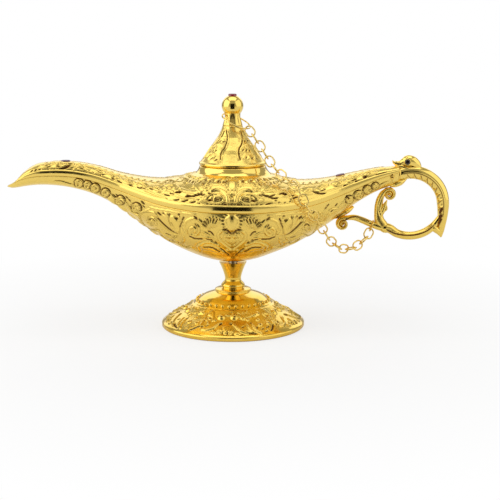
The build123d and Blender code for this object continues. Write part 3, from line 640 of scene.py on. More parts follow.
bowl_x = spread([(-106.8, -62, 0.47), (-62, 62, 0.40), (62, 78.5, 0.55)])
bowl_surface = surface_grid(bowl_point, bowl_x, spread([(0, 66, 0.92), (66, 90, 2.0)]))
bowl_surface[:, [0, -1], 2] -= 0.05
bowl = Casting(bowl_surface, -1)

# %% [markdown]
# The bowl's carving: a pointed drop with a dark stone, a heart of two curled lines under it,
# palmette fans at its sides, C-scrolls, long leaves, medallions, and a scalloped border along the
# keel. Marks are written for the middle and the spout's half, in places of the picture, and then
# carved four times: front and back, spout's half and tail's half.

# %% Marks of the bowl
bowl_marks = read_marks("""
swell 2.6 0.55 231,219 231,227
line 0.42 0.4 231,232 227.6,227.5 225.6,222.5 227,217.8 231,215.6
line 0.5 0.5 231,233.8 226.6,230.4 221.4,231.2 218.2,235.4 219.6,240.6 224.6,245.2 231,249.6
line 0.36 0.35 231,236.4 226.2,233.6 222.4,235 222.4,239 226,243 231,246.6
line 0.36 0.4 227.2,236.4 spiral 2.6 40 -1.15
cut 0.5 0.3 231,233.4 228.2,230.6 224.6,229.6
cut 0.45 0.3 208.4,231.3 211,232.2 213.6,235.3
cut 0.55 0.4 207,239.3 212,240.4 216.6,243.2
line 0.6 0.4 218.4,245.4 211,242.4 203.4,243 198,246 199.6,250.4
swell 2.4 0.45 203,247 210,248 218,250.4
cut 0.5 0.25 204,246.6 212,247 220,251
swell 1.6 0.4 224,252.4 229.6,250.6
cut 0.5 0.35 221,248.6 226,252 229,255.4
line 0.45 0.4 198.6,231.2 205,232.6 210.6,236.4 214.6,241.4
""")
for share in np.linspace(0, 1, 7):
    halo = math.radians(120 + 130 * share)
    c, s = math.cos(halo), math.sin(halo)
    hx, hy = 231 + 7.4 * c, 223 - 8.6 * s
    bowl_marks.append(("cut", 0.3, 0.35, [(hx, hy), (hx + 1.6 * c, hy - 1.6 * s)]))
fan_x, fan_y = 212.2, 229.6


def spoke(angle, near, far):
    """Two places on a ray from the middle of the fan."""
    c, s = math.cos(math.radians(angle)), math.sin(math.radians(angle))
    return [(fan_x + near * c, fan_y + near * s), (fan_x + far * c, fan_y + far * s)]


bowl_marks += [("line", 0.44, 0.42, spoke(angle, 3.4, far)) for angle, far in (
    (203, 11), (219, 11.6), (236, 12), (254, 12), (271, 12), (288, 12), (306, 12))]
bowl_marks += [("cut", 0.36, 0.42, spoke(angle, near, far)) for angle, near, far in (
    (211, 6.6, 10.6), (228, 7.2, 11), (245, 8, 11.4), (262, 9.4, 11.6), (279, 8.6, 11.4),
    (297, 8.4, 11.4))]
bowl_marks += read_marks("""
line 0.55 0.5 193.2,230.4 spiral 6.4 -62 1.35
line 0.5 0.45 186.4,233 184,228 186,221.6 192,218.4 198,219.6 202,223
cut 0.5 0.4 189.8,236.8 195,238.8 202,239.2
line 0.5 0.4 189.6,234.6 196,237 204,237 211,238.4
cut 0.5 0.4 195.4,224.4 196.6,226
cut 0.45 0.4 194.4,216.6 197.2,219
cut 0.5 0.4 178.6,213.4 179,215
cut 0.5 0.4 175.6,217.6 177.6,219.2
cut 0.5 0.4 182.6,219.4 183.8,217.4
line 0.4 0.4 179.2,221.2 179,216.2
cut 0.6 0.45 158,212.8 160.4,215
cut 0.5 0.4 163.2,213.2 165.4,215.2
cut 0.4 0.35 169.7,213.9 168.8,219.9 171.1,225.6
cut 0.4 0.35 171.4,222.6 175.5,228.5
cut 0.36 0.3 182.4,221 180.2,226 179.8,232.3
swell 1.7 0.4 166,216 170,224 175,230
swell 1.8 0.4 173,219 176,225 178,231
cut 0.62 0.6 157,217.6 163.5,224.2 170.7,230.4 176.6,233
line 0.45 0.4 155.4,219.4 162,226.4 169.2,232.4 176.4,235
line 0.5 0.45 151.2,221.8 spiral 5.4 30 -1.3
line 0.42 0.4 139,216 142.4,212.4 149,211.2 155.4,213.6 157.4,217
cut 0.36 0.3 149.1,219.9 151.5,218.7 154.7,221
swell 1.6 0.4 160,232 168,237 176,240
line 0.42 0.4 183,236 184,240 181.6,243.6
line 0.42 0.4 176,236.4 171,238.4 167.6,236.4
cut 0.4 0.35 173,239.6 174.6,240.6
cut 0.4 0.3 166,233.6 170.6,235.4
line 0.4 0.4 136.2,207.2 spiral 3.6 200 -1.2
line 0.36 0.35 128.4,198.8 131.6,203.6 134,210 140,211.9 146,210.2 150,209
cut 0.42 0.35 143,205.8 144.4,207.4
line 0.4 0.35 141,219.6 138.4,215 139.8,211.8
cut 0.4 0.35 116,194.6 118,196.6
cut 0.42 0.4 121,200.4 123,202
line 0.36 0.35 110,193 115,198 121,199.4 127,203 129,207
line 0.34 0.3 55,181.3 61,181.4 66,182.8 72,184.6 76,186.8
cut 0.36 0.3 126,196.6 130,200.6
line 0.36 0.3 150,207 160,209.4 170,211 182,213 196,214.4
""")
for cx, cy, radius in ((78.2, 183.9, 2.2), (87.2, 185.9, 2.0), (95.7, 188.7, 2.3),
                       (105.3, 192.4, 2.4)):
    bowl_marks.append(("line", 0.36, 0.35, spiral(cx, cy, radius, 0, 1.02, 1.0)))
    bowl_marks.append(("cut", 0.4, 0.25, [(cx, cy), (cx + 0.2, cy)]))
scallops = [(128, 206.5), (131.6, 211.6), (136.6, 214.6), (138.6, 216), (141, 220.6),
            (147.4, 226.8), (154.4, 230.2), (158.7, 230.4), (160.8, 234.6), (166.4, 239),
            (172.4, 241.8), (175.5, 241.6), (180.7, 245), (187.2, 247.4), (191.2, 246.4),
            (194, 248.6), (199.6, 251)]
end_marks = []
for cx, cy, radius in (
    (78.8, 183.1, 3.2), (87.3, 184.8, 2.9), (95, 188.2, 3.4), (105.4, 192.8, 3.2),
    (120.2, 200.2, 3.4), (136.2, 207.9, 3.8), (358.4, 195.1, 3.2), (367.5, 189.8, 3.0),
    (349.4, 199.6, 2.6), (375.6, 186, 2.2),
):
    end_marks.append(("cut", 0.5, 0.35, spiral(cx, cy, radius + 1.3, 20, 1, 1)))
    end_marks.append(("line", 0.55, 0.6, spiral(cx, cy, radius, 0, 1, 1)))
    end_marks.append(("swell", 0.7, 0.4, [(cx, cy), (cx + 0.3, cy)]))
for cx, cy in ((111.6, 200), (121.6, 207.4), (131.4, 215.6), (141.4, 224), (152.6, 232.6)):
    end_marks.append(("swell", 2.6, 0.75, [(cx, cy), (cx + 2, cy + 1.6)]))
for x, y in ((114.6, 196.2), (128.4, 205.2), (143, 202.8), (347.7, 197.4)):
    end_marks.append(("cut", 0.45, 0.5, [(x - 1.2, y - 1.4), (x + 1.2, y + 1.4)]))


# %% Carve the bowl
mirror_from, tail_share = 20, 0.84


def mark_lines(surface, places, turn_limits, mirror):
    """The front lines of one mark in millimetres: on the spout's half and on the tail's half."""
    pairs = flowing([place_on(surface, px, py, turn_limits) for px, py in places], 4)
    lines = [surface(pairs[:, 0], pairs[:, 1])]
    if mirror:
        side, out = np.sign(pairs[:, 0]), np.abs(pairs[:, 0])
        beyond = np.maximum(out - mirror_from, 0)
        other = -side * (np.minimum(out, mirror_from) + beyond * tail_share)
        lines.append(surface(other, pairs[:, 1]))
    return lines


def carve(casting, surface, marks, turn_limits=(2, 88), mirror=True, ground=0.2):
    """Cuts a list of marks into a casting's front half and copies it to the back."""
    for kind, half, height, places in marks:
        for line in mark_lines(surface, places, turn_limits, mirror):
            casting.mark(kind, line, half, height, ground)
    casting.copy_to_back()


carve(bowl, bowl_point, end_marks, mirror=False)
carve(bowl, bowl_point, bowl_marks)
carve(bowl, bowl_point, [("line", 0.5, 0.45, scallops)], ground=0.15)

# %% Close the bowl's wall
inner_step, inner_turns = 6, np.linspace(0, 180, 25)
inner_x = bowl_x[::inner_step]
inner_x = np.append(inner_x, bowl_x[-1]) if inner_x[-1] != bowl_x[-1] else inner_x
xi, ti = np.meshgrid(inner_x, inner_turns, indexing="ij")
width, seam, _, keel = section_at(xi)
thick = np.clip((xi + 103.5) / 5, 0.12, 1) * shell_wall
inner_width = np.maximum(width - thick, width * 0.5)
inner_keel = np.where(xi < -99.3, 0.05 + keel * 0.02, np.maximum(keel - shell_wall, 0.3))
bowl_inside = half_ring(xi, inner_width, seam - 0.05, ti, -inner_keel)
points, faces, _ = closed_shell(bowl.carved(), bowl_inside)
# The bowl's painted shade; none on the inside.
shade_and_dullness = np.concatenate([bowl.shade_and_dullness.ravel(), np.zeros(bowl_inside[..., 0].size)])
make_piece("carved_bowl", points, faces, ["lower_bowl"], shade_and_dullness, materials=[carved])

# %% [markdown]
# The crown carries the richest carving: a long bud in front under the collar with C-scrolls at
# its sides, rows of punched pits, and a running vine that follows the shoulders to the hood and
# to the tail. A polished band runs round its edge and stays smooth.

# %% Marks of the crown
def vine(x_from, x_to, turn, swing, count, grow=1.0):
    """A running vine on a casting: a wavy stem with a curl in each bend, as x and turn pairs."""
    share = np.linspace(0, 1, count * 8 + 1)
    wave = turn + swing * np.sin(share * count * math.pi)
    marks = [("line", 0.4, 0.4, np.stack([x_from + (x_to - x_from) * share, wave], -1))]
    step = (x_to - x_from) / count
    sweep = np.linspace(0, 1, 26)
    size = abs(step) * 0.36 * grow * (1 - 0.78 * sweep)
    for index in range(count):
        cx = x_from + step * (index + 0.5)
        up = 1 if index % 2 == 0 else -1
        middle, tip = turn + swing * 0.1 * up, turn - up * swing * 0.9
        angle = math.radians(90) * up + sweep * 2.4 * math.pi * up * np.sign(step)
        curl = np.stack([cx - size * np.cos(angle),
                         middle - size * np.sin(angle) * swing * 0.16], -1)
        marks += [
            ("line", 0.34, 0.4, curl),
            ("cut", 0.42, 0.4, np.array([[cx, middle]])),
            ("cut", 0.4, 0.45, np.array([[cx - step * 0.2, tip], [cx + step * 0.1, tip + up]])),
            ("swell", 0.9, 0.3, np.array([[cx - step * 0.42, turn - up * swing * 0.45],
                                          [cx - step * 0.3, turn - up * swing * 0.8]])),
        ]
    return marks


def ring_on(radius, first, last, step, reach, lean=0.0):
    """Short strokes on the crown across a ring about the lamp's axis, as x and turn pairs."""
    strokes = []
    for angle in np.radians(np.arange(first, last, step)):
        ends = [(radius, angle), (radius + reach, angle + lean)]
        x = np.array([r * math.cos(a) for r, a in ends])
        y = np.array([r * math.sin(a) for r, a in ends])
        share = np.clip(y / section_at(x)[0], 0, 0.98)
        strokes.append(np.stack([x, np.degrees(np.arccos(share))], -1))
    return strokes


running_marks = vine(-24, -66, 34, 15, 6) + vine(24, 68, 34, 15, 6) + vine(-68, -90, 40, 16, 4, 0.8)
running_marks += [("cut", 0.4, 0.4, np.array([[x, 66.0], [x + 0.5, 70.0]]))
                  for x in np.arange(-88, 72, 3.1) if abs(x) > 19]
running_marks += [("line", 0.34, 0.3, np.array([[x, 58.0], [x + 1.2, 62.0], [x + 2.6, 58.0]]))
                  for x in np.arange(-86, 70, 3.1) if abs(x) > 21]
for kind, half, height, *ring in (
    ("cut", 0.5, 0.55, 20.6, 4, 180, 10.2, 1.3, 0.03),
    ("swell", 0.9, 0.35, 21.0, 9.1, 180, 10.2, 1.0, 0.03),
    ("cut", 0.34, 0.35, 24.0, 2, 64, 5.1, 1.6, 0.05),
    ("cut", 0.34, 0.35, 24.0, 118, 180, 5.1, 1.6, -0.05),
):
    running_marks += [(kind, half, height, pairs) for pairs in ring_on(*ring)]
shoulder_marks = read_marks("""
swell 2.2 0.5 197.5,184 200.6,189
line 0.4 0.4 201.4,183.4 202.6,186.6 205.4,189.2 210,190.8 215,190.2
line 0.4 0.4 192.6,187.4 194.4,184 197.6,181.6 201,180.8
swell 1.9 0.5 178,189.4 186,192.4 194,194
cut 0.45 0.5 186.4,196.6 191,197 196.6,195.4 202,193.4
cut 0.6 0.6 175.6,192.6 178,192.4 181,192
cut 0.6 0.6 206.8,201.4 208.6,200.6 210.6,199.8
cut 0.42 0.5 211.2,194.6 213.2,196.6 212.6,199.4
line 0.36 0.4 160.8,184.6 165,181.4 170,180 176,181.6
line 0.36 0.4 185.6,181.2 spiral 3.4 200 1.2
swell 1.2 0.4 165,185 171,184
""")
side_marks = read_marks("""
pits 0.45 260.7,206 284.7,202.7 275.5,200.6 278.6,202.7 300,201
pits 0.45 0.5 4.6 -18 268.4,204 281.6,193.7 294.9,197.6 272,196
pits 0.44 159.5,181.4 155.8,183 169.3,181.6 174.7,184.3 172,187.6 176.4,187.8 180,187.4 183,185.4
    187.8,180 151.2,187 158.9,191.4 166,188 146,181 140,180 193.5,182
pits 0.45 0.5 4.4 12 178.2,192.4 167,195 200.6,194.3 210.6,193.6 190,196
pits 0.45 0.5 4.2 -24 176.6,200.6 193.2,202.6 185.5,201
pits 0.44 199.4,205.2 182.2,201.6
pits 0.4 0.45 1.6 -50 200.2,181.8 206,179.6 209.3,181.8 213.5,181 218.4,181.6 223.4,181.8
pits 0.42 71.8,170.4 86.9,174.4 100.2,175.2 107.7,179.4 126,176.6 113,180 93,172.6
pits 0.4 0.4 1.6 -55 31.9,171 35.9,170.2 39.9,170 47.8,170.6 54,171
pits 0.42 0.45 3.0 20 130.8,185.4 138.8,187.6 151.5,189 120,182
cut 0.5 0.45 59.8,170.3 64,168.6 69.4,166.6
line 0.38 0.4 73.4,171.4 76.6,167.4 82.9,166.4 89.3,170
line 0.38 0.4 117.2,177.4 spiral 3.0 0 1.2
line 0.42 0.42 263.8,192.6 271,190.8 279,191.2 287.8,192.4 291.6,197.6 290.8,202.4
line 0.42 0.42 198,199.4 192,197.6 184,198.4 177,195.2 171,190.6
line 0.42 0.42 166,200 160,196.4 153,193.6 146,190.4
cut 0.85 0.6 364.4,177.4 366,176.8
cut 0.75 0.6 355.8,183.2 357,182.6
cut 0.75 0.6 344.4,186.4 345.6,185.8
cut 0.5 0.45 376,176.8 380.4,174.8 385.1,173
cut 0.6 0.55 59.8,169.8 64,167.6 69.4,165.4
cut 0.5 0.5 313,191.4 319,193.4 325,195
""")
bud_marks = read_marks("""
line 0.75 0.55 231.2,177.6 231.2,201
line 1.3 0.7 231.2,179.4 231.2,193
line 2.0 0.85 231.2,183 231.2,187.6
line 0.36 0.35 231.4,177.2 234.6,179.4 237.4,184.8 235.8,192 233.4,201
line 0.8 0.7 235.6,201.4 236.6,196.4 240.4,191.8 246.4,190 252.4,191
line 0.4 0.5 257.2,188.6 spiral 3.8 190 1.4
line 0.42 0.45 240,200.6 241.4,197.4 245,195 250,194.6 254.4,196.4 257.6,199.4
line 0.36 0.35 240,201 244,203.4 250,203.8 256,202.4 262,199.6
swell 1.7 0.4 244,197 251,198
cut 0.62 0.6 237.6,206 239.6,206
cut 0.4 0.4 231.2,205.8 231.4,206
line 0.34 0.35 240,186.6 244,184.8 249,184.8 254,186
pits 238.5,181.9 243.4,182.3 248.7,182 253.6,182.2 258,181.2 262.8,182.8
pits 0.38 244.1,206 247.9,205.7 251.7,205.2 256,205
pits 0.42 0.45 3.4 -8 252.6,200.8 246.6,199.8
pits 0.36 0.4 3.4 24 249.5,190.4 260.7,195.4
""")

# %% Carve the crown
crown_x = spread([(-104.6, -62, 0.5), (-62, 62, 0.42), (62, 78.5, 0.6)])
crown = Casting(surface_grid(crown_point, crown_x, spread([(0, 70, 1.0), (70, 90, 1.6)])), 1)
for kind, half, height, pairs in running_marks:
    crown.mark(kind, crown_point(pairs[:, 0], pairs[:, 1]), half, height)
carve(crown, crown_point, shoulder_marks, (1, 89))
carve(crown, crown_point, side_marks, (1, 89), mirror=False)
carve(crown, crown_point, bud_marks, (1, 89))
crown.rise[:, [0, 1, -2, -1]] *= 0.2
crown.rise = np.clip(crown.rise, -0.7, 0.9)

# %% Close the crown's wall and cut its holes
seam_gap = 0.06
rim_out = [(0.25, 0.0), (0.55, 0.12), (0.6, 0.5), (0.6, 0.8), (0.5, 0.96), (0.2, 1.08)]
rim_count = len(rim_out)
width, seam, high, _ = section_at(crown_x)
band = np.minimum(band_height, high * 0.42)
rim_rows = np.stack([
    np.stack([crown_x, -(width + out), seam + seam_gap + up * band], -1) for out, up in rim_out
], 1)
crown_outside = np.concatenate([rim_rows, crown.carved(), rim_rows[:, ::-1] * [1, -1, 1]], axis=1)
xi, ti = np.meshgrid(np.append(crown_x[::inner_step], crown_x[-1]), inner_turns, indexing="ij")
width, seam, high, _ = section_at(xi)
crown_inside = half_ring(xi, np.maximum(width - shell_wall, width * 0.5), seam + seam_gap, ti,
                         np.maximum(high - shell_wall, high * 0.5))
points, faces, outer_count = closed_shell(crown_outside, crown_inside)
columns, rows = crown_outside.shape[:2]
# The crown's painted shade; none on the band or inside.
shade_and_dullness = np.zeros(len(points))
shade_and_dullness[: columns * rows].reshape(-1, rows)[:, rim_count:-rim_count] = crown.shade_and_dullness
in_band = np.zeros(len(faces), int)
outer_rows = in_band[:outer_count].reshape(-1, rows - 1)
outer_rows[:, :rim_count] = outer_rows[:, -rim_count:] = 1
carved_crown = make_piece("carved_crown", points, faces, ["upper_shell"], shade_and_dullness, choose=in_band)


def cylinder_points(centre, radius_x, radius_y, axis_tilt, low, top, steps=72):
    """A closed cylinder tilted about Y, as points and faces, for cutting a hole."""
    t = np.linspace(0, 2 * math.pi, steps, endpoint=False)
    c, s = math.cos(math.radians(axis_tilt)), math.sin(math.radians(axis_tilt))
    u, v = radius_x * np.cos(t), radius_y * np.sin(t)
    rings = [np.stack([centre[0] + u * c - along * s, centre[1] + v,
                       centre[2] + u * s + along * c], -1) for along in (low, top)]
    faces = [tuple(range(steps))[::-1], tuple(range(steps, 2 * steps))]
    faces += [(i, (i + 1) % steps, steps + (i + 1) % steps, steps + i) for i in range(steps)]
    return np.concatenate(rings), faces


wick_x = -spout_reach * 0.918
_, wick_seam, wick_crown, _ = section_at(wick_x)
wick_centre = (wick_x, 0, float(wick_seam + wick_crown))
for name, (hole_points, hole_faces) in (
    ("mouth", cylinder_points((0, 0, 60), 14.6, 14.6, 0, 2, 30)),
    ("wick", cylinder_points(wick_centre, 2.5, 3.1, 42, -4.6, 4)),
):
    cutter = new_object(name, mesh_in_mm(name, hole_points, hole_faces))
    cut = carved_crown.modifiers.new(name, "BOOLEAN")
    cut.operation, cut.solver, cut.object = "DIFFERENCE", "EXACT", cutter
    bpy.context.view_layer.update()
    result = bpy.data.meshes.new_from_object(
        carved_crown.evaluated_get(bpy.context.evaluated_depsgraph_get()))
    carved_crown.modifiers.clear()
    carved_crown.data = result
    bpy.data.objects.remove(cutter)

# %% [markdown]
# Collar, lid and foot are turned shapes. Each is a profile spun round the lamp's axis and closed
# inside. Lid and foot are carved with the same tools: marks read from the picture on the front are
# laid on the profile and repeated round the axis.

# %% Turned castings
def profile_points(points, step):
    """A profile of radius and height, resampled at even steps along its length."""
    points = np.array(points, float)
    way = np.append(0, np.cumsum(np.linalg.norm(np.diff(points, axis=0), axis=1)))
    fine = np.linspace(0, way[-1], max(int(way[-1] / step), 2))
    return np.stack([np.interp(fine, way, points[:, 0]), np.interp(fine, way, points[:, 1])], -1)


def spun(profile, steps):
    """A grid from a profile spun round the axis; the first row of points is repeated last."""
    t = np.linspace(0, 2 * math.pi, steps + 1)[:, None]
    return np.stack([profile[:, 0] * np.sin(t), -profile[:, 0] * np.cos(t),
                     profile[:, 1] + 0 * t], -1)


def rounded(keys, count):
    """A smooth profile through a few keys of radius and height."""
    known = np.arange(float(len(keys)))
    return smooth_between(np.linspace(0, len(keys) - 1, count), known, np.array(keys, float))


def spun_piece(name, outer, inner_profile, nodes, shade_and_dullness=None, body=root, choose=None, **finish):
    """A closed turned piece: the carved outer grid, and a coarser inside spun from a profile."""
    inside_steps = 96
    ring, inner = outer[:-1], spun(np.array(inner_profile, float), inside_steps)[:-1]
    steps, rows = ring.shape[:2]
    start, inner_rows = steps * rows, inner.shape[1]
    faces = []
    for i in range(steps):
        a, b = i * rows, ((i + 1) % steps) * rows
        faces += [(a + j, b + j, b + j + 1, a + j + 1) for j in range(rows - 1)]
    chosen = (choose or [0] * (rows - 1)) * steps
    for i in range(inside_steps):
        a, b = start + i * inner_rows, start + ((i + 1) % inside_steps) * inner_rows
        faces += [(a + j, a + j + 1, b + j + 1, b + j) for j in range(inner_rows - 1)]
    for row, inner_row in ((0, 0), (rows - 1, inner_rows - 1)):
        outer_ids = [i % steps * rows + row for i in range(steps + 1)]
        inner_ids = [start + i % inside_steps * inner_rows + inner_row
                     for i in range(inside_steps + 1)]
        faces += zip_rows(outer_ids, inner_ids)
    chosen += [0] * (len(faces) - len(chosen))
    points = np.concatenate([ring.reshape(-1, 3), inner.reshape(-1, 3)])
    values = np.zeros(len(points))
    if shade_and_dullness is not None:
        values[:start] = shade_and_dullness[:-1].ravel()
    return make_piece(name, points, faces, nodes, values, body, chosen, **finish)


def front_of(profile):
    """A surface like the vessel's, for place_on: x, and a turn of 0 to 90 along the profile."""
    share = np.linspace(0, 90, len(profile))

    def surface(x, turn):
        radius = np.interp(turn, share, profile[:, 0])
        return np.stack([np.asarray(x, float) + 0 * radius,
                         -np.sqrt(np.maximum(radius**2 - np.asarray(x) ** 2, 0.01)),
                         np.interp(turn, share, profile[:, 1])], -1)
    return surface


def carve_round(casting, surface, marks, copies):
    """Carves marks from the picture and repeats them round the axis."""
    for kind, half, height, places in marks:
        x, y, z = mark_lines(surface, places, (0.5, 89.5), False)[0].T
        for index in range(copies):
            angle = 2 * math.pi * index / copies
            c, s = math.cos(angle), math.sin(angle)
            casting.mark(kind, np.stack([x * c - y * s, x * s + y * c, z], -1), half, height)


collar_profile = profile_points([(14.6, 77.5), (15.4, 77.5), (15.75, 77.2), (16.0, 76.4),
                                 (16.6, 75.3), (17.5, 74.2), (18.4, 73.3), (19.0, 72.6),
                                 (18.9, 71.8)], 0.35)
spun_piece("mouth_collar", spun(collar_profile, 220),
           [(13.6, 77.5), (13.4, 77.3), (13.4, 72.4), (13.6, 72.2)], [], materials=[polished])

# %% Lid
lid_cone = profile_points([(15.2, 79.5), (15.04, 79.7), (13.6, 81.7), (12.2, 83.7), (11.12, 85.4),
                           (9.6, 87.5), (8.2, 89.5), (7.04, 91.1), (6.1, 92.8), (5.28, 94.5),
                           (4.85, 95.6), (4.72, 96.3)], 0.3)
lid_ring = profile_points([(15.05, 77.62), (15.5, 77.75), (15.85, 78.1), (16.0, 78.55),
                           (15.85, 79.0), (15.5, 79.35), (15.25, 79.48)], 0.24)
lid_casting = Casting(spun(np.concatenate([lid_ring, lid_cone]), 330), 1)
lid_front = front_of(lid_cone)
lid_marks = read_marks("""
line 0.34 0.34 227.7,130.6 228.6,136 228.2,142 225.8,148.4 222.6,153 221.6,159.8
cut 0.3 0.45 226.4,131 227.2,137 226.6,142 224.2,148 221,153 220,159.6
line 0.32 0.34 239.6,131 241,137 240.4,143 237.4,148.4 237.4,154 238.6,159.8
cut 0.34 0.45 241,131 242.6,138 242,143.6 239.2,149 239.2,155 240.4,159.8
line 0.32 0.4 243.4,158.6 245.4,154.6 249.6,153.4 253.6,155 255,159
line 0.3 0.4 243.2,147.4 245,144.4 248,143.6 251,145.4
line 0.3 0.4 242.4,139 244.2,136.6 246.8,137.4
swell 0.9 0.4 249.4,157 249.6,159
swell 0.8 0.35 247,147.4 247.6,149
cut 0.34 0.45 242.8,150.6 243.4,149.4
cut 0.34 0.45 246.2,151.4 246.6,150
cut 0.34 0.45 249.6,151 250,149.8
cut 0.34 0.4 244.6,141.6 245.2,140.4
cut 0.34 0.4 247.6,141.2 248.2,140.2
cut 0.34 0.45 246.2,158.2 246.6,157
cut 0.34 0.45 252.4,158.8 252.8,157.6
cut 0.34 0.45 257,159.4 257.4,158
line 0.34 0.3 237,126.6 240,128 242,130
""")
carve_round(lid_casting, lid_front, lid_marks, 4)
chain_low, chain_high, chain_room = 87, 93.5, 0.1
lid_z = lid_casting.points[..., 2]
beside_chain = (lid_z > chain_low) & (lid_z < chain_high)
lid_casting.rise[beside_chain] = np.minimum(lid_casting.rise[beside_chain], chain_room)
spun_piece("carved_lid", lid_casting.carved(),
           [(13.1, 77.62), (13.1, 79.4), (9.7, 85.4), (5.6, 91.1), (4.9, 92.6), (4.7, 96.3)],
           ["lid"], lid_casting.shade_and_dullness, "lid",
           choose=[1] * len(lid_ring) + [0] * (len(lid_cone) - 1))

# %% Foot
foot_radius, foot_height, rim_top, ring_low = 34.4, 22.9, 3.4, 11.0


def foot_line(shares):
    """Points of the foot from shares of its radius and height."""
    return [(a * foot_radius, b * foot_height) for a, b in shares]


slope = rounded(foot_line([(1.0, 0.096), (0.855, 0.242), (0.703, 0.352), (0.567, 0.500)]), 25)
dome = rounded(foot_line([(0.462, 0.608), (0.395, 0.670), (0.250, 0.742)]), 15)
bulge = rounded(foot_line([(0.151, 0.817), (0.166, 0.873), (0.113, 0.969)]), 13)
rim = [(33.2, 0.02), (34.0, 0.15), (34.35, 0.6), (34.4, 1.4), (34.4, 2.1)]
ring_turns = [(19.25, 11.35), (18.95, 11.3), (18.6, 11.75), (18.0, 12.15), (17.2, 12.75),
              (16.5, 13.4)]
beads = foot_line([(0.250, 0.760), (0.256, 0.780), (0.235, 0.797), (0.17, 0.806)])
foot_profile = profile_points(rim + slope[1:].tolist() + ring_turns + dome.tolist() + beads
                              + bulge.tolist() + [(3.9, 22.85)], 0.34)
foot_casting = Casting(spun(foot_profile, 520), 1)
foot_front = front_of(profile_points(slope, 0.3))
berries = [(221.2, 317.4, 1.7), (234, 317.4, 1.7), (209.1, 318.8, 1.0), (242.6, 318.4, 1.0),
           (202.9, 312.8, 1.1), (254.6, 314.8, 1.1), (257.2, 319.9, 1.0), (259.6, 324.8, 1.1),
           (196.7, 323.1, 1.0), (247.4, 319.9, 0.9), (210.6, 315.2, 0.9), (215.2, 320.4, 0.8)]
foot_marks = []
for x, y, size in berries:
    foot_marks.append(("swell", size, size * 0.6, [(x, y), (x + 0.2, y)]))
    foot_marks.append(("cut", size * 0.32, 0.4, [(x + size * 0.3, y + 0.3),
                                                 (x + size * 0.4, y + 0.4)]))
foot_marks += read_marks("""
line 0.5 0.5 221.6,323 218,324.6 212.8,328.4 206,330 202,329.6
line 0.5 0.5 231.3,323 235,326.4 240.6,331 248,333.4
line 0.42 0.5 250.8,323.5 254,327.6 257.4,331 261,333
line 0.42 0.4 245.6,324 249.6,328.6 254,332
cut 0.5 0.5 190.1,329.6 194,328.2 198.8,325.8
cut 0.5 0.5 246.4,332 250,333.2 256.1,333.6
cut 0.45 0.5 221.2,323.8 219.6,324.8
cut 0.45 0.5 230.2,323.6 231.6,324.2
line 0.36 0.4 220,331.4 spiral 2.3 200 1.2
line 0.36 0.4 229.4,332.6 spiral 2.2 -20 -1.2
line 0.36 0.35 213.4,332 spiral 1.8 160 1.1
line 0.36 0.35 237,333.4 spiral 1.8 20 -1.1
swell 1.3 0.5 225,328 225.4,332
cut 0.36 0.4 222.4,334 223,331.4
cut 0.36 0.4 227.6,334.4 227,331.6
line 0.42 0.4 265.4,319.8 269,318.4 273,318.8 276.7,320.6
line 0.42 0.4 262.2,313.6 266.4,317.4 271,321.6 276,325
""")
for step in range(5):
    x = 189.6 + step * 2.1
    foot_marks += [
        ("line", 0.36, 0.42, [(x + 1.6 - step * 0.3, 313.4), (x - 0.4 * step, 309.6),
                              (x + 0.6 * step - 1.4, 306.6 + 0.3 * step)]),
        ("line", 0.36, 0.42, [(262 + step * 0.5, 309.4 + step), (266 + step * 1.2, 310.8 + step),
                              (268.4 + step * 1.6, 313.6 + step)]),
    ]
foot_marks += read_marks("""
pits 0.36 0.4 210.4,318.8 207.6,317.8 244.6,320.6 240.2,319.8 278.8,309.3 273.3,306 276.7,323.9
    204.6,320.6 252,316.6
pits 0.36 0.4 2.0 -30 187.4,318.4 184.6,323.2 190.6,321.4 201.8,326.6 207,325.4 243,326.8
    262.6,328.6 268,326.6 266.8,331
""")
carve_round(foot_casting, foot_front, foot_marks, 5)
foot_casting.rise = np.clip(foot_casting.rise, -0.6, 1.1)
spun_piece("carved_foot", foot_casting.carved(),
           [(32.4, 0.02), (32.3, 1.6), (29.4, 3.6), (24.2, 6.1), (19.5, 9.5), (5.2, 12.88),
            (2.15, 12.9), (2.1, 22.85)],
           ["foot"], foot_casting.shade_and_dullness,
           choose=[int(z < rim_top or z > ring_low) for _, z in foot_profile[:-1]])

# %% [markdown]
# The handle is a serpent bent into a loop. Its parts are bars swept along curves in the lamp's
# middle plane, with oval sections that swell and taper. The upper bar has a smooth back and a row
# of slanted leaves inside, and the scrolls are bars that roll up into volutes.

# %% Swept bars
loop_x, loop_z, loop_radius_x, loop_radius_z = 84.5, 59.0, 15.65, 15.3


def swept(points, halves, depths, rings, around):
    """A grid of oval rings along a curve in the XZ plane; the first column faces its left side."""
    keys = np.column_stack([np.array(points, float), halves, depths])
    way = np.append(0, np.cumsum(np.linalg.norm(np.diff(keys[:, :2], axis=0), axis=1)))
    fine = smooth_between(np.linspace(0, way[-1], rings), way, keys)
    run = np.gradient(fine[:, :2], axis=0)
    run /= np.linalg.norm(run, axis=1)[:, None]
    turn = np.linspace(0, 2 * math.pi, around + 1)
    left = np.stack([-run[:, 1], run[:, 0]], -1)
    half = np.maximum(fine[:, 2], 0.08)[:, None] * np.cos(turn)
    depth = np.maximum(fine[:, 3], 0.08)[:, None] * np.sin(turn)
    return np.stack([fine[:, 0, None] + left[:, 0, None] * half, -depth,
                     fine[:, 1, None] + left[:, 1, None] * half], -1)


def band_faces(a, b, around):
    """Faces between two closed rings of points that start at the numbers a and b."""
    return [(a + j, b + j, b + (j + 1) % around, a + (j + 1) % around) for j in range(around)]


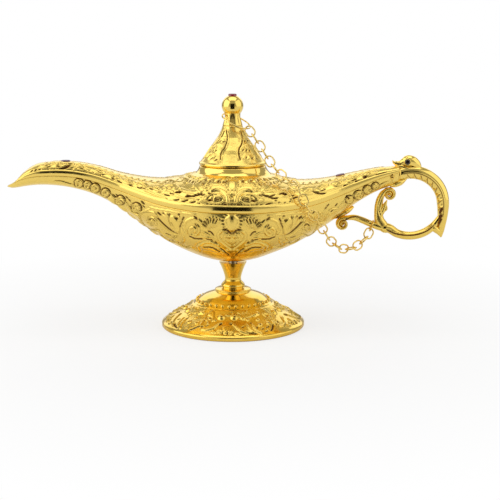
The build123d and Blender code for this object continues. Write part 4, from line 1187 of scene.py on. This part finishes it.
def closed_bar(grid, start):
    """Points and faces of a swept grid, with its ends closed. The last column is the first."""
    rings, around = grid.shape[0], grid.shape[1] - 1
    ends = np.stack([grid[0, :-1].mean(0), grid[-1, :-1].mean(0)])
    faces = []
    for i in range(rings - 1):
        faces += band_faces(start + i * around, start + (i + 1) * around, around)
    tip, last = start + rings * around, start + (rings - 1) * around
    for j in range(around):
        faces.append((tip, start + j, start + (j + 1) % around))
        faces.append((tip + 1, last + (j + 1) % around, last + j))
    return np.concatenate([grid[:, :-1].reshape(-1, 3), ends]), faces


def bar_piece(name, bars, nodes, polished_bars=()):
    """One piece from several bars. The bars whose numbers are given are polished."""
    points, faces, shade_and_dullness, chosen = [], [], [], []
    for index, bar in enumerate(bars):
        bar_points, bar_faces = closed_bar(bar.carved(), sum(len(p) for p in points))
        points.append(bar_points)
        faces += bar_faces
        shade_and_dullness.append(np.append(bar.shade_and_dullness[:, :-1].ravel(), [0, 0]))
        chosen += [int(index in polished_bars)] * len(bar_faces)
    return make_piece(name, np.concatenate(points), faces, nodes, np.concatenate(shade_and_dullness),
                      choose=chosen)


def engrave(casting, marks):
    """Carves picture lines into a bar on the front, and the same lines on the back."""
    for kind, half, height, y, places in marks:
        line = []
        for px, py in flowing(places, 4):
            start, way = picture_ray(px, py)
            line.append(start + way * (y - start[1]) / way[1])
        for side in (1, -1):
            casting.mark(kind, np.array(line) * [1, side, 1], half, height)


def bar(points, halves, depths, rings, around, sheet=""):
    """A swept bar, engraved with the marks of a sheet. Depths may be a share of the halves."""
    if isinstance(depths, float):
        depths = [half * depths for half in halves]
    casting = Casting(swept(points, halves, depths, rings, around), 1)
    engrave(casting, read_marks(sheet))
    return casting


def loop_point(angle):
    """A point of the loop by its angle from +X."""
    return (loop_x + loop_radius_x * math.cos(math.radians(angle)),
            loop_z + loop_radius_z * math.sin(math.radians(angle)))

# %% Handle
loop_angles = (112, 98, 82, 66, 50, 34, 18, 2)
upper = [(tail_reach + 0.1, loop_point(112)[1])] + [loop_point(a) for a in loop_angles[1:]]
upper += [(loop_x + loop_radius_x * (1 + inward), loop_z - 16.0 * down)
          for inward, down in ((0.0, 0.3), (-0.02, 0.6), (-0.035, 0.85), (-0.03, 1.0))]
halves = [2.9 + 0.3 * max(math.sin(math.radians(a)), 0) for a in loop_angles]
halves += [2.5, 1.95, 1.25, 0.35]
upper_bar = bar(upper, halves, 0.9, 330, 72)
rings, around = upper_bar.rise.shape
share = np.linspace(0, 1, rings)[:, None]
from_inside = np.abs(np.linspace(0, 360, around)[None, :] - 180)
after_tail = np.clip((share - 0.03) / 0.02, 0, 1)
inner = np.clip((84 - from_inside) / 10, 0, 1) * np.clip((from_inside - 12) / 26, 0, 1)
inner = inner * after_tail * np.clip((0.74 - share) / 0.05, 0, 1)
leaf = np.mod(share * 13.5 + from_inside / 90, 1)
edge = np.exp(-(np.minimum(leaf, 1 - leaf) / 0.09) ** 2)
groove = np.exp(-((from_inside - 88) / 5) ** 2) * after_tail
groove = groove * np.clip((0.80 - share) / 0.04, 0, 1)
upper_bar.rise += inner * (0.14 * np.sin(math.pi * leaf) - 0.36 * edge) - 0.34 * groove
# Painted shade along the leaf edges and in the groove inside the loop.
upper_bar.shade_and_dullness = np.clip(np.maximum(0.75 * inner * edge, 0.85 * groove), 0, 1)
engrave(upper_bar, read_marks("""
cut 0.8 0.9 -2.2 442.2,208.6 440.2,212 438.2,215.4
cut 1.0 0.9 -1.9 441.2,215.6 438.6,219 436,221.8
cut 0.7 0.9 -1.6 441.6,218.6 439,224 438,230
"""))
upper_bar.rise = np.clip(upper_bar.rise, -0.9, 0.5)
lower = [loop_point(a) for a in (-24, -45, -62, -79, -96, -113, -130)]
lower += [(72.6, 47.6), (70.6, 48.2)]
lower_bar = bar(lower, [1.2, 1.8, 1.95, 1.95, 1.95, 2.05, 2.3, 2.5, 1.8], 0.95, 170, 48, """
cut 0.45 0.55 -1.9 386,229.4 396,233.6 407.3,235.3 418,234.2 427,230.8 434,225.4
""")
hook = bar([(93.6, 47.6), (95.8, 47.5), (97.8, 46.2), (99.7, 43.0)], [1.0, 1.6, 1.6, 0.2],
           [1.2, 1.8, 1.5, 0.3], 50, 36)
head = bar([(75.6, 79.8), (76.2, 79.0), (77.5, 78.4), (79.2, 78.3), (80.9, 78.9), (82.6, 79.4),
            (84.8, 79.2), (86.8, 77.9), (88.6, 75.4)],
           [0.15, 0.6, 1.1, 1.35, 1.95, 2.8, 2.8, 2.3, 1.2], 0.92, 110, 48, """
cut 0.3 0.4 -1.2 393.4,163.6 397,164.6 400.6,164.4
cut 0.4 0.4 -1.0 395.4,161.6 396.2,161.8
line 0.35 0.35 -2.2 399.6,158.4 403.6,155.9 407.6,158.2
""")
boss_depth = float(section_at(np.array([75.0]))[0][0]) + 0.75
boss = bar([(74.9, 70.0), (75.0, 73.0), (75.4, 76.0)], [0.9, 2.2, 0.9],
           [boss_depth - 1.6, boss_depth, boss_depth - 1.6], 70, 72)
engrave(boss, [
    ("cut", 0.4, 0.4, -boss_depth, spiral(392.6, 174.6, 2.9, 0, 1, 1)),
    ("line", 0.4, 0.35, -boss_depth, spiral(392.6, 174.6, 1.5, 0, 1, 1)),
    ("cut", 0.4, 0.4, -boss_depth, [(392.5, 174.5), (392.7, 174.7)]),
])
throat = bar([(75.6, 75.4), (77.4, 76.6), (79.6, 77.0), (82.0, 76.2), (86.4, 74.8)],
             [0.5, 0.9, 1.2, 1.5, 1.3], [0.6, 1.5, 1.9, 2.2, 2.2], 60, 32)
chin = bar([(74.6, 67.9), (77.0, 68.5), (79.6, 69.6), (82.6, 71.4)], [0.8, 1.5, 1.6, 0.5],
           [1.8, 2.9, 2.6, 0.8], 50, 40)
cuff = bar([(77.6, 69.2), (78.4, 71.4), (78.9, 73.8), (78.8, 76.2)], [0.6, 1.15, 1.3, 0.7],
           [2.4, 3.1, 3.2, 2.4], 48, 40)
bar_piece("carved_handle", [upper_bar, lower_bar, head, throat, cuff, chin, hook, boss],
          ["handle_loop", "tail_pin"], polished_bars=(0, 1, 2, 6))


# %% Scrolls
def rolled_bar(line, halves, depths, middle, start, turns, rings, sheet):
    """A bar that rolls up into a volute round its middle and tapers on the way in."""
    roll = spiral(*middle, 2.75, start, turns, 0.2, 18, 0)
    halves = halves + np.linspace(1.05, 0.55, len(roll)).tolist()
    depths = depths + np.linspace(1.9, 1.5, len(roll)).tolist()
    return bar(line + roll, halves, depths, rings, 40, sheet)


def volute_eye(x, z):
    """The button in the middle of a volute."""
    return bar([(x - 0.75, z), (x, z), (x + 0.75, z)], [0.3, 0.8, 0.3], [0.5, 1.7, 0.5], 16, 24)


low_middle, high_middle = (52.5, 49.4), (74.5, 63.6)
arm = rolled_bar(
    [(71.6, 47.9), (69.3, 48.3), (65.8, 49.5), (61.9, 51.2), (57.8, 52.5), (54.8, 52.4)],
    [2.1, 1.8, 1.6, 1.55, 1.4, 1.2], [1.9, 1.6, 1.45, 1.45, 1.6, 1.8], low_middle, 100, 1.45, 260,
    """
cut 0.42 0.5 -1.5 344,220.6 350,217.6 356,216.8 363,218.6 369,221.6
""")
saddle = bar([(46.2, 51.8), (48.4, 53.2), (51.6, 54.6), (55.4, 56.4), (57.6, 57.8)],
             [0.5, 1.5, 1.7, 1.3, 0.5], [0.8, 2.5, 3.0, 2.4, 0.8], 60, 40, """
cut 0.45 0.5 -2.6 334,219.6 340,215.4 346,211.8
line 0.4 0.4 -2.8 333,217.8 338,214.4 345,209.8
""")
bar_piece("carved_bracket", [arm, saddle, volute_eye(*low_middle)], ["handle_bracket"])
stem = rolled_bar(
    [(71.6, 48.6), (70.1, 51.0), (69.5, 54.4), (69.6, 58.6), (70.4, 62.2), (71.7, 64.6)],
    [2.6, 2.4, 2.1, 1.9, 1.6, 1.25], [1.9, 1.8, 1.7, 1.7, 1.8, 1.9], high_middle, 145, -1.55, 280,
    """
cut 0.45 0.55 -1.7 377.4,200.8 376.9,205.4
line 0.4 0.4 -1.8 380.6,216 378.6,209 380.4,203 382.4,197.6
cut 0.35 0.4 -1.7 381.4,213 381,208.4
cut 0.35 0.4 -1.7 375.4,217.6 376,212
""")
leaf = bar([(70.2, 52.6), (71.4, 55.6), (72.4, 58.4), (73.4, 60.8)], [0.6, 1.25, 1.0, 0.3],
           [0.9, 1.6, 1.3, 0.4], 40, 28)
tip = bar([(71.6, 55.2), (73.1, 56.6), (73.4, 58.2)], [0.4, 0.7, 0.25], [0.8, 1.0, 0.4], 20, 20)
bar_piece("carved_scroll", [stem, leaf, tip, volute_eye(*high_middle)], ["rising_scroll"])

# %% [markdown]
# Each stone sits in a thin rolled setting. The settings take their places from the solids of the
# stones, so they stay round them.

# %% Stone settings
def ring_tube(centre, across, along, across_radius, along_radius, tube=0.32, steps=64,
              around=14):
    """A closed ring of round wire on an oval, as points and faces."""
    normal = np.cross(across, along)
    t = np.linspace(0, 2 * math.pi, steps, endpoint=False)[:, None]
    p = np.linspace(0, 2 * math.pi, around, endpoint=False)[None, :]
    reach = tube * np.cos(p)
    flat = ((across_radius + reach) * np.cos(t))[..., None] * across
    flat = flat + ((along_radius + reach) * np.sin(t))[..., None] * along
    points = centre + flat + (tube * np.sin(p) + 0 * t)[..., None] * normal
    faces = []
    for i in range(steps):
        faces += band_faces(i * around, (i + 1) % steps * around, around)
    return points.reshape(-1, 3), faces


tail_lean = math.radians(12.7)
along_x, along_y, along_z = np.eye(3)
along_tail = np.array([math.cos(tail_lean), 0, math.sin(tail_lean)])
ring_points, ring_faces = [], []
for node, across, along, across_radius, along_radius, shift in (
    ("spout_stone", along_x, along_y, 2.35, 1.85, (0, 0, -0.25)),
    ("tail_stone", along_tail, along_y, 2.35, 1.85, (0, 0, -0.25)),
    ("front_stone", along_z, along_x, 1.32, 1.02, (0, 0.25, 0)),
    ("back_stone", along_z, along_x, 1.32, 1.02, (0, -0.25, 0)),
    ("front_eye_stone", along_x, along_z, 1.35, 1.35, (0, 0.1, 0)),
    ("back_eye_stone", along_x, along_z, 1.35, 1.35, (0, -0.1, 0)),
):
    low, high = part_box(node)
    centre = (np.array(low) + np.array(high)) / 2 / MM + shift
    points, faces = ring_tube(centre, across, along, across_radius, along_radius)
    start = sum(len(p) for p in ring_points)
    ring_points.append(points)
    ring_faces += [tuple(start + v for v in face) for face in faces]
make_piece("stone_settings", np.concatenate(ring_points), ring_faces, [], materials=[polished])

# %% [markdown]
# The finial is a polished ball on a neck of eight leaves, turned and chased. It rides with the lid.

# %% Finial
ball_z, ball_radius, neck_petals = 105.52, 5.07, 8
ball_turn = np.radians(np.linspace(-42.8, 84, 60))
ball = np.stack([ball_radius * np.cos(ball_turn), ball_z + ball_radius * np.sin(ball_turn)], -1)
neck = profile_points(rounded([(4.72, 96.45), (3.75, 99.9), (3.72, 102.0)], 20), 0.2)
finial_casting = Casting(spun(np.concatenate([neck, ball]), 200), 1)
on_neck = np.zeros((1, len(neck) + len(ball)))
on_neck[0, 1:len(neck) - 1] = np.sin(np.linspace(0.25, math.pi, len(neck) - 2))
petal = np.abs(np.sin(neck_petals / 2 * np.linspace(0, 2 * math.pi, 201)[:, None]))
finial_casting.rise += on_neck * (0.3 * petal - 0.14)
# Painted shade in the creases between the petals.
finial_casting.shade_and_dullness += on_neck * np.clip(0.8 - petal * 2.2, 0, 1)
spun_piece("carved_finial", finial_casting.carved(), [(0.4, 96.6), (0.4, 110.4)], ["finial"],
           finial_casting.shade_and_dullness, "lid", choose=[0] * len(neck) + [1] * (len(ball) - 1))

# %% [markdown]
# A row of pearls runs round the foot. Geometry Nodes sets one small sphere on each point of a
# circle; the number of pearls, the row and the pearl itself are inputs of the tree.

# %% Pearls of the foot
def pearl_tree(material):
    """A node tree that sets pearls in a ring about the Z axis, and its inputs' identifiers."""
    tree = bpy.data.node_groups.new("pearl_row", "GeometryNodeTree")
    face = tree.interface
    face.new_socket("Geometry", in_out="OUTPUT", socket_type="NodeSocketGeometry")
    kinds = {"Pearls": "NodeSocketInt", "Row Radius": "NodeSocketFloat",
             "Row Height": "NodeSocketFloat", "Pearl Radius": "NodeSocketFloat"}
    sockets = {name: face.new_socket(name, in_out="INPUT", socket_type=kind).identifier
               for name, kind in kinds.items()}
    given = tree.nodes.new("NodeGroupInput").outputs
    lift = add_node(tree, "ShaderNodeCombineXYZ", {"Z": given["Row Height"]})
    circle = add_node(tree, "GeometryNodeMeshCircle",
                      {"Vertices": given["Pearls"], "Radius": given["Row Radius"]})
    place = add_node(tree, "GeometryNodeSetPosition",
                     {"Geometry": circle.outputs[0], "Offset": lift.outputs[0]})
    pearl = add_node(tree, "GeometryNodeMeshIcoSphere",
                     {"Subdivisions": 3, "Radius": given["Pearl Radius"]})
    copies = add_node(tree, "GeometryNodeInstanceOnPoints",
                      {"Points": place.outputs[0], "Instance": pearl.outputs[0]})
    real = add_node(tree, "GeometryNodeRealizeInstances", {0: copies.outputs[0]})
    smooth = add_node(tree, "GeometryNodeSetShadeSmooth", {0: real.outputs[0]})
    paint = add_node(tree, "GeometryNodeSetMaterial",
                     {"Geometry": smooth.outputs[0], "Material": material})
    add_node(tree, "NodeGroupOutput", {0: paint.outputs[0]})
    return tree, sockets


pearls_tree, pearl_inputs = pearl_tree(carved)
foot_pearls = new_object("foot_pearls", bpy.data.meshes.new("foot_pearls"))
pearl_nodes = foot_pearls.modifiers.new("pearls", "NODES")
pearl_nodes.node_group = pearls_tree
for key, value in (("Pearls", 34), ("Row Radius", 17.25 * MM), ("Row Height", 12.75 * MM),
                   ("Pearl Radius", 0.9 * MM)):
    pearl_nodes[pearl_inputs[key]] = value
view = bpy.context.evaluated_depsgraph_get()
made = bpy.data.meshes.new_from_object(foot_pearls.evaluated_get(view))
foot_pearls.modifiers.clear()
foot_pearls.data = made
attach(foot_pearls, root)
